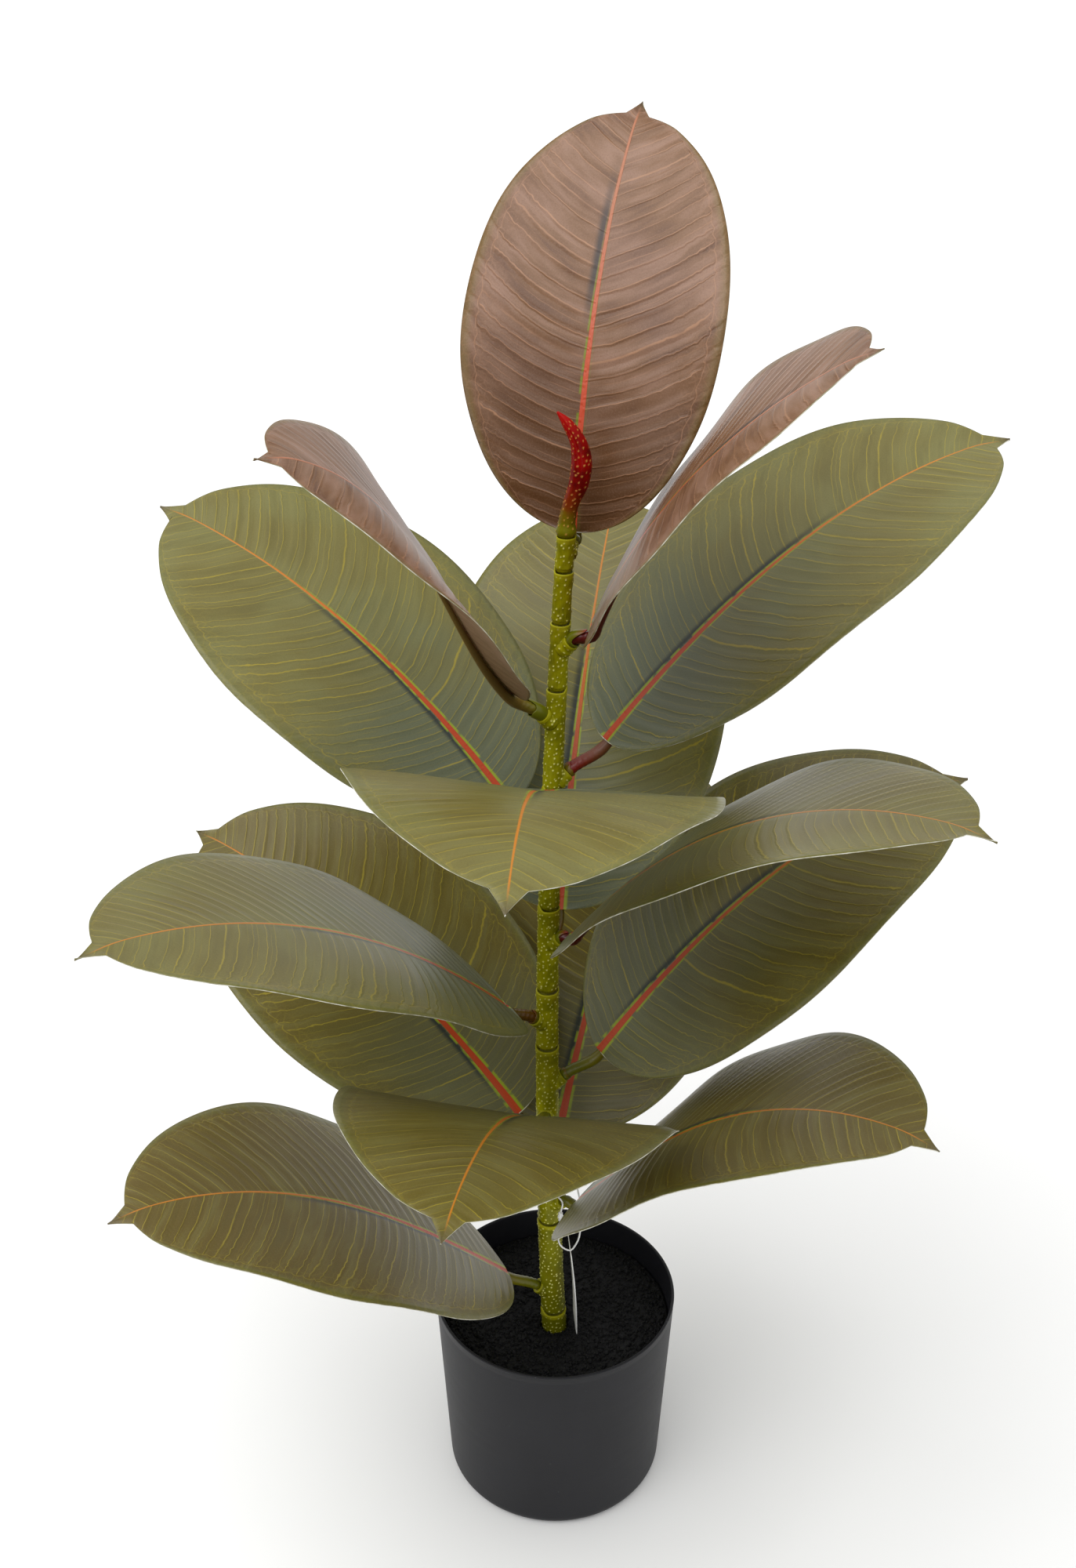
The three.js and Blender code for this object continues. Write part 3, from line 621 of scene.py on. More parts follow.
def stalk_material(name, near, far, under, sleeve, sleeve_point, roughness=0.32):
    """Moulded stalk, its colour going from the socket (mark "along" 0) to the blade (1). The mark "sleeve" goes from 0
    on the bare stalk to 1 at the foot of the sleeve round it, and on to 2 at the sleeve's point."""
    material, nodes, shader = new_material(
        name, roughness, Specular_IOR_Level=0.35, Coat_Weight=0.12, Coat_Roughness=0.2
    )
    grain = nodes.group(GRAIN, {"Fine": 700.0, "Cloud": 120.0})
    reach = nodes.plus(nodes.mark("along")["Fac"], nodes.times(nodes.plus(grain["Tone"], -0.5), 0.5))
    tone = nodes.mix(nodes.step(reach, 0.15, 0.85), near, far)
    tone = nodes.mix(nodes.times(nodes.mark("under")["Fac"], 0.6), tone, under)
    cover = nodes.mark("sleeve")["Fac"]
    tone = nodes.mix(nodes.step(cover, 0.4, 0.9), tone, sleeve)
    point = nodes.step(nodes.plus(cover, nodes.times(grain["Tone"], 0.4)), 1.5, 2.1)
    tone = nodes.mix(point, tone, sleeve_point)
    nodes.put(shader["Base Color"], tone)
    nodes.put(shader["Roughness"], nodes.plus(roughness - 0.06, nodes.times(grain["Tone"], 0.14)))
    nodes.put(shader["Normal"], relief(nodes, grain["Height"], 0.3, 0.0002))
    return material


# near the socket, near the blade, underneath, the sleeve and the sleeve's point
STALK_TONES = {
    "brown": ((92, 56, 8), (88, 72, 10), (62, 36, 4), (96, 88, 8), (104, 50, 10)),
    "maroon": ((112, 22, 12), (104, 62, 34), (60, 36, 10), (104, 90, 10), (118, 20, 10)),
    "green": ((92, 94, 8), (104, 96, 10), (66, 60, 4), (100, 104, 6), (110, 84, 10)),
    "olive": ((108, 106, 8), (112, 88, 40), (98, 76, 32), (100, 104, 6), (110, 84, 10)),
    "wine": ((76, 12, 8), (84, 18, 12), (50, 8, 6), (100, 104, 6), (128, 26, 10)),
}
STALKS = {
    shade: stalk_material("stalk_" + shade, *(colour(*tone) for tone in tones))
    for shade, tones in STALK_TONES.items()
}
STALK_OF = {
    "leaf_01": "green", "leaf_02": "olive", "leaf_03": "wine", "leaf_04": "maroon", "leaf_05": "maroon",
    "leaf_06": "brown", "leaf_07": "green", "leaf_08": "brown", "leaf_09": "brown", "leaf_10": "wine",
    "leaf_11": "green", "leaf_12": "brown", "leaf_13": "green", "leaf_14": "green", "leaf_15": "green",
}


# ------------------------------------------------------------------ stem line
def stem_x(z):
    """The stem bows sideways: x grows with the square of the height from where it stands out furthest."""
    return STEM_BOW_X + STEM_BOW * (np.asarray(z, float) - STEM_BOW_Z) ** 2


def stem_at(z):
    z = np.asarray(z, float)
    return np.stack([stem_x(z), np.full_like(z, STEM_Y), z], -1)


def stem_radius(z):
    """The stem's radius goes evenly from the soil to the top."""
    share = (np.asarray(z, float) - SOIL_TOP) / (STEM_TOP - SOIL_TOP)
    return STEM_RADIUS_SOIL + (STEM_RADIUS_TOP - STEM_RADIUS_SOIL) * share


# ------------------------------------------------------------------ leaf blades
def outline(s):
    """Half width from 0 to 1: an oval K t^0.5 (1 - t)^0.55 with t = s / 0.955, and a drip tip that tapers over the
    last tenth, the two joined by the root of the sum of their powers, which hollows the shoulders."""
    t = np.clip(s / 0.955, 0, 1)
    widest = 0.5 / 1.05
    oval = t**0.5 * (1 - t) ** 0.55 / (widest**0.5 * (1 - widest) ** 0.55)
    drip = np.where(s > 0.5, 0.088 * np.clip((1 - s) / 0.045, 0, 1.6) ** 1.15 * soft_step(s, 0.86, 0.94), 0)
    return (oval**2.5 + drip**2.5) ** 0.4


def blade_frame(leaf, s):
    """Directions along, across and out of the blade at s, from its heading, slope and roll there."""
    s = np.asarray(s, float)
    heading = np.radians(leaf["azimuth"] + leaf["sweep"] * s)
    slope = np.radians(blend(leaf["rise"], s) + 4 * leaf["arch"] * s * (1 - s))
    roll = np.radians(blend(leaf["roll"], s))
    ch, sh, cs, ss = np.cos(heading), np.sin(heading), np.cos(slope), np.sin(slope)
    along = np.stack([cs * ch, cs * sh, ss], -1)
    level = np.stack([-sh, ch, np.zeros_like(s)], -1)
    up = np.stack([-ss * ch, -ss * sh, cs], -1)
    across = level * column(np.cos(roll)) + up * column(np.sin(roll))
    out = up * column(np.cos(roll)) - level * column(np.sin(roll))
    return along, across, out


def midrib(leaf, s):
    """The midrib's points: its direction summed in even steps from the blade's base, and read at s."""
    steps = np.linspace(0, 1, 241)
    along = blade_frame(leaf, steps)[0]
    moves = (along[1:] + along[:-1]) / 2 * leaf["length"] / (len(steps) - 1)
    base = stem_at(leaf["height"]) + leaf["reach"] * compass(leaf["socket"])
    line = np.concatenate([base[None], base + np.cumsum(moves, axis=0)])
    return np.stack([np.interp(s, steps, line[:, k]) for k in range(3)], -1)


def blade_stations():
    """Places along the blade: closer together at the round base, at the oval's end and on the drip tip."""
    base = 0.012 * np.linspace(0, 1, 11) ** 2
    middle = np.linspace(0.012, 0.93, 142)[1:]
    end = 0.955 - 0.025 * np.linspace(1, 0, 13)[1:] ** 2
    tip = np.linspace(0.955, 1, 11)[1:]
    return np.concatenate([base, middle, end, tip])


def vein_number(s, away, left, veins):
    """The print's count of veins without its wander, for the relief pressed into the cloth."""
    return (s - away * (0.15 + 0.55 * s * s) - 0.75 * away * away) * veins + 0.37 * left


def pressed(leaf, s, v, reach, seed):
    """Height of the pressed cloth over the smooth blade, in millimetres: low waves, a wave along the edge that grows
    with the fifth power of the place across, a groove along the midrib and shallow cushions between the veins."""
    rng = np.random.default_rng(seed)
    phase = rng.uniform(0, 2 * np.pi, 6)
    away = np.abs(reach) / leaf["length"]
    left = (reach > 0).astype(float)
    low = 0.55 * np.sin(7.0 * s + 2.2 * v + phase[0]) * np.abs(v)
    low = low + 0.35 * np.sin(13.0 * s - 3.1 * v + phase[1]) * np.abs(v)
    side = np.where(v > 0, phase[2], phase[3])
    edge = 1.1 * np.abs(v) ** 5 * np.sin(17.0 * s + side) * soft_step(s, 0.05, 0.3) * soft_step(1 - s, 0.04, 0.25)
    groove = -0.5 * np.exp(-((reach / 2.4) ** 2)) * (1 - s) ** 0.6
    veins = (GROWN_PRINT if leaf["length"] > YOUNG[0] else YOUNG_PRINT)["Veins"]
    cushions = 0.22 * np.cos(2 * np.pi * vein_number(s, away, left, veins))
    cushions = cushions * soft_step(np.abs(reach), 2.0, 12.0) * soft_step(1 - np.abs(v), 0.08, 0.2)
    return low + edge + groove + cushions


def blade_surface(leaf, s, v, seed):
    """Middle surface of a blade on a grid of s and v: midrib + across reach cos(fold) + out |reach| sin(fold), where
    reach is v times half the width, and the pressed relief is added square to it. Returns points, normals, reach."""
    line = midrib(leaf, s[:, 0])
    _, across, out = blade_frame(leaf, s[:, 0])
    fold = np.radians(np.where(v < 0, blend(leaf["right"], s), blend(leaf["left"], s)))
    shown = 1 - leaf.get("tuck", 0) * np.clip(1 - s / TUCK_REACH, 0, 1) ** 1.5
    reach = v * np.maximum(outline(s) * shown, 1e-3) * leaf["width"] / 2
    level, lifted = column(reach * np.cos(fold)), column(np.abs(reach) * np.sin(fold))
    points = line[:, None] + across[:, None] * level + out[:, None] * lifted
    points += out[:, None] * column(pressed(leaf, s, v, reach, seed) - TIP_DROOP * soft_step(s, 0.9, 1.0) ** 1.5)
    normals = unit(np.cross(np.gradient(points, axis=0), np.gradient(points, axis=1)))
    return points, normals, reach


BLADE_COLUMNS = 43
# the bake map: a face's middle and reach across, the step to the other face, the ends along, and the edge's strip
FACE_MIDDLE, FACE_REACH, FACE_STEP = 0.245, 0.225, 0.485
MAP_LOW, MAP_HIGH = 0.01, 0.99
STRIP_NEAR, STRIP_FAR = 0.975, 0.99


def make_blade(name, leaf, materials, shade_and_age, seed):
    """A blade as two faces of one thin sheet, closed by its cut edge."""
    s, v = np.meshgrid(blade_stations(), np.linspace(-1, 1, BLADE_COLUMNS), indexing="ij")
    points, normals, reach = blade_surface(leaf, s, v, seed)
    rows, columns = s.shape
    thickness = BLADE_THICKNESS / 2
    count = rows * columns
    top = (points + normals * thickness).reshape(-1, 3)
    low = (points - normals * thickness).reshape(-1, 3)
    face = quads(rows, columns, False)
    rim, edge = cut_edge(rows, columns)
    # quads() turns a face clockwise here, so the upper face is reversed and the lower one is not
    faces = [face[:, ::-1], face + count, edge]
    mark = np.stack([s, reach / leaf["length"], v], -1).reshape(-1, 3)
    kinds = np.repeat([0, 1, 2], [len(f) for f in faces])
    # each face of the sheet has its own half of the bake map, and the edge a strip beside them
    aside = FACE_MIDDLE + FACE_REACH * reach / (leaf["width"] / 2)
    flat_map = np.stack([aside, MAP_LOW + (MAP_HIGH - MAP_LOW) * s], -1).reshape(-1, 2)
    strip = np.linspace(MAP_LOW, MAP_HIGH, len(rim) + 1)
    strip_across = np.tile([STRIP_NEAR, STRIP_FAR, STRIP_FAR, STRIP_NEAR], (len(rim), 1))
    strip_along = np.stack([strip[:-1], strip[:-1], strip[1:], strip[1:]], 1)
    edge_map = np.stack([strip_across, strip_along], -1)
    bake = [flat_map[faces[0]], flat_map[faces[1] - count] + [FACE_STEP, 0], edge_map]
    return make_piece(
        name, np.concatenate([top, low]), faces, [*materials, CUT_EDGE], [name],
        face_material=kinds, flat=np.flatnonzero(kinds == 2),
        marks={"print": np.concatenate([mark, mark]), "shade_and_age": np.full(2 * count, shade_and_age)},
        uv=np.concatenate([part.reshape(-1, 2) for part in bake]),
    )


for order, (leaf_name, leaf) in enumerate(LEAVES.items()):
    young = leaf_name in YOUNG_LEAVES
    make_blade(
        leaf_name + "_blade", leaf,
        (YOUNG_FRONT, YOUNG_BACK) if young else (LEAF_FRONT, LEAF_BACK),
        LOWER_LEAF_SHADE_AND_AGE.get(leaf_name, 0.0), 100 + order,
    )


# ------------------------------------------------------------------ stalks
def socket_line(leaf):
    """Where a socket starts on the stem's axis, its direction, and the distance to its mouth."""
    start = stem_at(leaf["height"] - leaf["drop"])
    end = stem_at(leaf["height"]) + leaf["reach"] * compass(leaf["socket"])
    toward = (end - start) / np.linalg.norm(end - start)
    return start, toward, stem_radius(leaf["height"] - leaf["drop"]) + SOCKET_PROTRUSION


def swept(path, at, distance, angle, radius, reference):
    """Points at an angle and radius round a path, at distances along it: centre + radius (side cos a + other sin a),
    side being the reference made square to the path, and other square to both."""
    tangents = unit(np.gradient(path, axis=0))
    centre = np.stack([np.interp(distance, at, path[:, k]) for k in range(3)], -1)
    ahead = unit(np.stack([np.interp(distance, at, tangents[:, k]) for k in range(3)], -1))
    side = unit(reference - column(ahead @ reference) * ahead)
    other = np.cross(ahead, side)
    return centre + (side * column(np.cos(angle)) + other * column(np.sin(angle))) * column(radius)


def sleeve_skin(path, at, start, sleeve, reference):
    """A thin sleeve round the stalk. Its far rim rises to a point on the upper side: the length at an angle is
    length + point (1 - off / spread)^1.3, off being the angle from the point. Outside, rim and inside in one grid."""
    length, point, spread, radius = sleeve
    sides = 40
    angle = np.linspace(0, 2 * np.pi, sides, endpoint=False)
    off = np.abs((angle - np.pi / 2 + np.pi) % (2 * np.pi) - np.pi)
    reach = length + point * np.clip(1 - off / math.radians(spread), 0, 1) ** 1.3
    reach = reach + 0.35 * np.sin(5 * angle) * (off > math.radians(spread))
    share = np.concatenate([np.linspace(0, 1, 18), np.linspace(0.985, 0.1, 8)])
    skin = np.concatenate([np.linspace(0.25, 0, 2), np.zeros(16), np.full(8, 0.45)])
    distance = start + share[:, None] * reach[None, :]
    flare = radius * (0.96 + 0.1 * np.sin(np.pi * share * 0.8))[:, None] - skin[:, None]
    grid = swept(path, at, distance, np.broadcast_to(angle, distance.shape), flare, reference)
    return grid, 1 + share[:, None] * reach[None, :] / (length + point)


# length, height of the point, spread of the point in degrees, radius
SLEEVES = {
    "leaf_02": (7, 16, 80, 4.0), "leaf_03": (2.5, 9.5, 85, 4.0), "leaf_05": (2.2, 2.2, 60, 3.7),
    "leaf_09": (2.4, 1.2, 60, 3.7), "leaf_10": (2.0, 3.0, 70, 3.7), "leaf_11": (2.4, 1.0, 60, 3.6),
}


# places along the blade that the rib under it goes through, up to where it ends
RIB_PLACES = np.array([0.012, 0.035, 0.075, 0.14, 0.22, 0.31, 0.4, RIB_REACH])
NECK_BACK, NECK_SINK = 1.4, 0.4


def make_stalk(name, leaf, material, sleeve, seed):
    """A stalk: a ring carried from the socket's mouth under the blade's base and along the midrib, thinning as it
    goes. Its section is a little wider than deep, its underside is uneven, and a sleeve stands round its foot."""
    start, toward, mouth = socket_line(leaf)
    along, side, out = blade_frame(leaf, 0.0)
    droop = math.radians(max(0, -min(*leaf["left"], *leaf["right"])))
    rib_radius = blend((RIB_START, RIB_END), RIB_PLACES / RIB_REACH)
    depth = (rib_radius + BLADE_THICKNESS / 2 + 0.35) / math.cos(droop)
    under = midrib(leaf, RIB_PLACES) - blade_frame(leaf, RIB_PLACES)[2] * column(depth)
    neck = midrib(leaf, [0.0])[0] - along * (STALK_RADIUS + NECK_BACK) - out * (STALK_RADIUS - NECK_SINK)
    points = np.array([
        start + toward * (mouth - 2.0), start + toward * (mouth + 0.3), start + toward * (mouth + 2.1), neck, *under,
    ])
    radii = np.array([SPIGOT_RADIUS, SPIGOT_RADIUS, STALK_RADIUS, STALK_RADIUS, *rib_radius])
    knots = path_lengths(points)
    at = np.concatenate([np.linspace(0, knots[4], 40), np.linspace(knots[4], knots[-1], 70)[1:]])
    line = through(knots, points, at)
    thick = np.clip(np.interp(at, knots, radii), 0.3, STALK_RADIUS)
    ends = np.sqrt(np.clip(1 - (1 - np.clip((at[-1] - at) / 1.2, 0, 1)) ** 2, 0.02, 1))
    sides = 24
    angle = np.linspace(0, 2 * np.pi, sides, endpoint=False)
    rng = np.random.default_rng(seed)
    knobs = 1 + 0.05 * np.sin(at[:, None] * 2.1 + 3 * angle + rng.uniform(0, 6)) * soft_step(-at, -30, 0)[:, None]
    radius = (thick * ends)[:, None] * (1 + 0.06 * np.cos(2 * angle)) * knobs
    both = np.broadcast_arrays(at[:, None], angle[None, :])
    grid = swept(line, at, *both, radius, side)
    place = np.clip(at / knots[4], 0, 1)
    downward = np.clip(-(unit(grid - line[:, None]) @ out), 0, 1)
    skins = [closed_tube(grid)]
    marks = {
        "along": [np.repeat(place, sides), [0, 1]], "under": [downward.ravel(), [0, 0]],
        "sleeve": [np.zeros(grid[..., 0].size), [0, 0]],
    }
    if sleeve:
        cover, shown = sleeve_skin(line, at, knots[1] - 0.2, sleeve, side)
        skins.append(closed_tube(cover))
        for mark, values in (("along", 0 * shown), ("under", 0 * shown), ("sleeve", shown)):
            marks[mark] += [values.ravel(), [0, 0]]
    skin_points, faces = joined(skins)
    marks = {mark: np.concatenate(values) for mark, values in marks.items()}
    return make_piece(name, skin_points, faces, [material], [name], marks=marks)


for order, (leaf_name, leaf) in enumerate(LEAVES.items()):
    make_stalk(leaf_name + "_stalk", leaf, STALKS[STALK_OF[leaf_name]], SLEEVES.get(leaf_name), 200 + order)


# ------------------------------------------------------------------ stem segments
def dot_places(rng, width, height, pitch):
    """Centres of the raised dots on an unrolled skin: an even lattice, each point moved by up to a third of it."""
    across = max(int(round(width / pitch)), 3)
    up = max(int(height / (pitch * 0.9)), 1)
    i, j = np.meshgrid(np.arange(across), np.arange(up), indexing="ij")
    x = (i + 0.5 * (j % 2)) / across * width
    z = (j + 0.5) / up * height
    move = rng.uniform(-0.36, 0.36, (2, *x.shape)) * pitch
    keep = rng.uniform(0, 1, x.shape) < 0.9
    return (x + move[0])[keep], (z + move[1])[keep], rng.uniform(0.75, 1.2, int(keep.sum()))


def dots_on(x, z, width, dots):
    """How much of a dot stands at each place: the highest of exp(-(d / r)^6) over all dots, d being the distance round
    and along the skin and r a share of the dot's size."""
    best = np.zeros(x.shape)
    dot_x, dot_z, size = dots
    for start in range(0, x.shape[0], 8):
        rows = slice(start, start + 8)
        dx = np.abs(x[rows, :, None] - dot_x) % width
        dx = np.minimum(dx, width - dx)
        distance = np.hypot(dx, z[rows, :, None] - dot_z)
        best[rows] = np.exp(-((distance / (0.42 * size)) ** 6)).max(-1)
    return best


LIP_LOW, LIP_POINT, LIP_SPREAD = 0.9, 3.4, 42


def segment_skin(low, high, lip_angle, rng):
    """One length of the stem as a grid of angle and profile: a round lower end, the dotted skin, a rim that stands up
    round the next length's foot and rises to a point at lip_angle, and a shallow cup inside it."""
    sides = 116
    angle = np.linspace(0, 2 * np.pi, sides, endpoint=False)
    off = np.abs((angle - lip_angle + np.pi) % (2 * np.pi) - np.pi)
    lip = LIP_LOW + LIP_POINT * np.clip(1 - off / math.radians(LIP_SPREAD), 0, 1) ** 1.4
    dome = np.radians(np.linspace(4, 90, 10))
    body = np.arange(low + 3.4, high - 1.0, 0.42)
    cup = [1.0, 1.02, 1.04, 1.02, 0.94, 0.88, 0.85, 0.5, 0.05]
    share = np.concatenate([0.95 * np.sin(dome), np.ones(len(body)), cup])
    rise = np.concatenate([low + 0.1 + 3.1 * (1 - np.cos(dome)), body, [high - 0.7, high - 0.3], np.full(7, high)])
    lift = np.concatenate([np.zeros(len(dome) + len(body) + 2), [0.55, 0.9, 1.0, 0.8, 0, 0, 0]])
    sink = np.concatenate([np.zeros(len(dome) + len(body) + 6), [0.7, 1.5, 1.8]])
    z = rise[:, None] + lift[:, None] * lip[None, :] - sink[:, None]
    waist = 1 - 0.02 * np.sin(np.pi * np.clip((z - low) / (high - low), 0, 1)) ** 2
    swell = 1 + 0.035 * np.exp(-((z - high + 1.5) / 3.0) ** 2)
    radius = share[:, None] * stem_radius(z) * waist * swell
    width = 2 * np.pi * float(stem_radius((low + high) / 2))
    unrolled = angle[None, :] / (2 * np.pi) * width + 0 * z
    skin = soft_step(z, low + 1.5, low + 4.0) * soft_step(-z, -(high + 0.2), -(high - 1.6)) * (share[:, None] >= 0.9)
    dots = dots_on(unrolled, z - low, width, dot_places(rng, width, high - low, 3.05)) * skin
    wobble = 0.1 * np.sin(3 * angle[None, :] + z * 0.35) + 0.06 * np.sin(5 * angle[None, :] - z * 0.8)
    radius = radius + 0.3 * dots + wobble * skin
    centre = stem_at(z)
    points = centre + np.stack([radius * np.cos(angle), radius * np.sin(angle), np.zeros_like(z)], -1)
    rim = soft_step(z, high - 2.2, high - 0.4) * np.ones_like(angle)[None, :]
    return points, dots, rim


def socket_skin(leaf, rng):
    """A socket as a grid of angle and distance: a fillet where it leaves the stem, 1.3 exp(-d / 1.6) more than the
    socket's own radius, a bead before its mouth, and a rim that closes onto the stalk."""
    start, toward, mouth = socket_line(leaf)
    sides = 56
    angle = np.linspace(0, 2 * np.pi, sides, endpoint=False)
    surface = float(stem_radius(leaf["height"] - leaf["drop"]))
    shaft = np.linspace(surface * 0.45, mouth - 0.5, 24)
    distance = np.concatenate([shaft, mouth - np.array([0.25, 0.08, 0.0, 0.0, 0.9])])
    tube_radius = 0.93 * SOCKET_RADIUS + 1.3 * np.exp(-np.clip(distance - surface * 0.9, 0, None) / 1.6)
    tube_radius = tube_radius + 0.35 * np.exp(-((distance - mouth + 1.4) / 1.0) ** 2)
    tube_radius = np.minimum(tube_radius, SOCKET_RADIUS * 1.16)
    tube_radius[-5:] = SOCKET_RADIUS * np.array([1.0, 0.93, 0.84, 0.62, 0.56])
    points = start + toward * column(distance)
    line_up = np.broadcast_to(distance[:, None], (len(distance), sides))
    width = 2 * np.pi * SOCKET_RADIUS
    skin = (np.arange(len(distance)) < len(shaft))[:, None] * soft_step(-line_up, -(mouth - 0.4), -(mouth - 1.6))
    unrolled = angle[None, :] / (2 * np.pi) * width + 0 * line_up
    dots = dots_on(unrolled, line_up, width, dot_places(rng, width, mouth + 2, 2.9)) * skin
    radii = tube_radius[:, None] + 0.28 * dots
    reference = unit(np.cross(toward, [0.0, 0.0, 1.0]))
    grid = tube_along(points, toward, radii, reference)
    rim = soft_step(line_up, mouth - 0.9, mouth - 0.1) * 0.6
    return grid, dots, rim


def tube_along(points, toward, radii, reference):
    """Rings square to one direction: centre + radius (side cos a + other sin a)."""
    side = unit(reference - toward * (reference @ toward))
    other = np.cross(toward, side)
    angle = np.linspace(0, 2 * np.pi, radii.shape[1], endpoint=False)
    ring = side * column(np.cos(angle)) + other * column(np.sin(angle))
    return points[:, None] + ring[None] * radii[:, :, None]


# the side, in degrees, on which each segment's rim rises to its point
LIP_SIDES = [200, 15, 170, 330, 160, 35, 200, 10, 205, 350, 25, 165, 20]


def make_segment(index):
    """A stem segment with the sockets that it carries."""
    low, high = JOINTS[index], JOINTS[index + 1]
    rng = np.random.default_rng(300 + index)
    name = f"stem_segment_{index + 1:02d}"
    skins = [segment_skin(low, high, math.radians(LIP_SIDES[index]), rng)]
    skins += [socket_skin(leaf, rng) for leaf in LEAVES.values() if low <= leaf["height"] - leaf["drop"] < high]
    points, faces = joined([closed_tube(grid) for grid, _, _ in skins])
    marks = {
        "dot": np.concatenate([np.append(dots.ravel(), [0, 0]) for _, dots, _ in skins]),
        "rim": np.concatenate([np.append(rim.ravel(), [0, 0]) for _, _, rim in skins]),
    }
    stands_for = [name, "core_rod"] if index == 0 else [name]
    return make_piece(name, points, faces, [STEM_GREEN], stands_for, marks=marks)


for segment_index in range(len(JOINTS) - 1):
    make_segment(segment_index)


# ------------------------------------------------------------------ bud sheath
def sheath_material():
    """Red moulded sheath, green at its foot, with pale dots."""
    material, nodes, shader = new_material(
        "sheath_red", 0.4, Specular_IOR_Level=0.12, Coat_Weight=0.02, Coat_Roughness=0.25
    )
    grain = nodes.group(GRAIN, {"Fine": 1200.0, "Cloud": 110.0})
    along = nodes.mark("along")["Fac"]
    reach = nodes.plus(along, nodes.times(nodes.plus(grain["Tone"], -0.5), 0.22))
    tone = nodes.mix(nodes.step(grain["Tone"], 0.35, 0.7), colour(150, 3, 1), colour(98, 2, 1))
    tone = nodes.mix(nodes.step(reach, 0.75, 0.95), tone, colour(166, 10, 3))
    tone = nodes.mix(nodes.step(reach, 0.2, 0.48, (1.0, 0.0)), tone, colour(118, 50, 8))
    tone = nodes.mix(nodes.step(reach, 0.06, 0.26, (1.0, 0.0)), tone, colour(112, 110, 5))
    tone = nodes.mix(nodes.times(nodes.mark("dot")["Fac"], 0.75), tone, colour(220, 160, 80))
    nodes.put(shader["Base Color"], tone)
    nodes.put(shader["Normal"], relief(nodes, grain["Height"], 0.3, 0.0002))
    return material


# the horn's middle line from the stem's top, x, y and z, and its radius
HORN = np.array([
    [0, 0, 0.1, 3.0], [0, 0, 1.5, 4.3], [0.3, 0, 8, 4.1], [2, -0.6, 17, 3.8], [5.8, -1.2, 28, 4.7], [7, -1.5, 38, 4.9],
    [5.6, -1.5, 47, 4.0], [2.6, -1.2, 53, 3.2], [-1, -0.8, 58, 2.2], [-4.6, -0.4, 62, 0.5],
])


def make_sheath():
    """The sheath: a ring carried along a curved horn, its radius going through the horn's own, with raised dots."""
    knots = path_lengths(HORN[:, :3])
    at = np.linspace(0, knots[-1], 130)
    line = stem_at(STEM_TOP) + through(knots, HORN[:, :3], at)
    radius = np.clip(through(knots, HORN[:, 3], at), 0.3, 6)
    sides = 64
    angle = np.linspace(0, 2 * np.pi, sides, endpoint=False)
    rng = np.random.default_rng(400)
    width = 2 * np.pi * 4.2
    round_it, along_it = np.broadcast_arrays(angle[None, :] / (2 * np.pi) * width, at[:, None])
    dots = dots_on(round_it, along_it, width, dot_places(rng, width, at[-1], 2.9))
    dots = dots * soft_step(at, 1.5, 4)[:, None] * soft_step(-at, -at[-1] + 3, -at[-1] + 9)[:, None]
    crease = -0.35 * np.exp(-((angle - 4.4) / 0.16) ** 2)[None, :] * soft_step(at, 10, 30)[:, None]
    radii = radius[:, None] + 0.28 * dots + crease * radius[:, None] / 4.5
    points, faces = closed_tube(tube(line, radii, sides, np.array([1.0, 0.0, 0.0])))
    marks = {
        "dot": np.append(dots.ravel(), [0, 0]),
        "along": np.append(np.repeat(at / at[-1], sides), [0, 1]),
    }
    make_piece("bud_sheath", points, faces, [sheath_material()], ["bud_sheath"], marks=marks)


make_sheath()


# ------------------------------------------------------------------ pot
def pot_material():
    """Matte charcoal plastic with a fine moulded grain and a few light scuffs."""
    material, nodes, shader = new_material("pot_charcoal", 0.5, Specular_IOR_Level=0.27)
    grain = nodes.group(GRAIN, {"Fine": 1600.0, "Cloud": 22.0})
    place = nodes.add("ShaderNodeTexCoord").outputs["Object"]
    tone = nodes.mix(nodes.step(grain["Tone"], 0.3, 0.7), colour(20, 20, 24), colour(26, 26, 30))
    specks = nodes.cells(place, 95.0)["Distance"]
    tone = nodes.mix(nodes.step(specks, 0.02, 0.05, (0.35, 0.0)), tone, colour(84, 86, 88))
    scuffs = nodes.noise(nodes.scaled(place, (30.0, 30.0, 240.0)), 1.0, 4.0, 0.7)
    tone = nodes.mix(nodes.step(scuffs, 0.62, 0.8, (0.0, 0.25)), tone, colour(50, 51, 54))
    nodes.put(shader["Base Color"], tone)
    nodes.put(shader["Roughness"], nodes.plus(0.42, nodes.times(grain["Tone"], 0.1), nodes.times(scuffs, 0.08)))
    nodes.put(shader["Normal"], relief(nodes, grain["Height"], 0.35, 0.00015))
    return material


def turned_grid(profile, sides):
    """A profile of [radius, height] points turned about the Z axis."""
    angle = np.linspace(0, 2 * np.pi, sides, endpoint=False)
    profile = np.asarray(profile, float)
    ring = np.stack([np.cos(angle), np.sin(angle)], -1)
    flat = profile[:, None, :1] * ring[None]
    return np.concatenate([flat, np.broadcast_to(profile[:, None, 1:], (*flat.shape[:2], 1))], -1)


# the pot's underside as radius and height: a shallow hollow inside a foot ring
POT_FOOT = [[0.5, 1.2], [52, 1.2], [53, 0.4], [53.6, 0.0], [56.5, 0.0]]
POT_SIDES = 160


def pot_wall(z):
    """The pot's outer radius, which grows evenly from foot to rim."""
    return POT_BASE + (POT_RIM - POT_BASE) * z / POT_HEIGHT


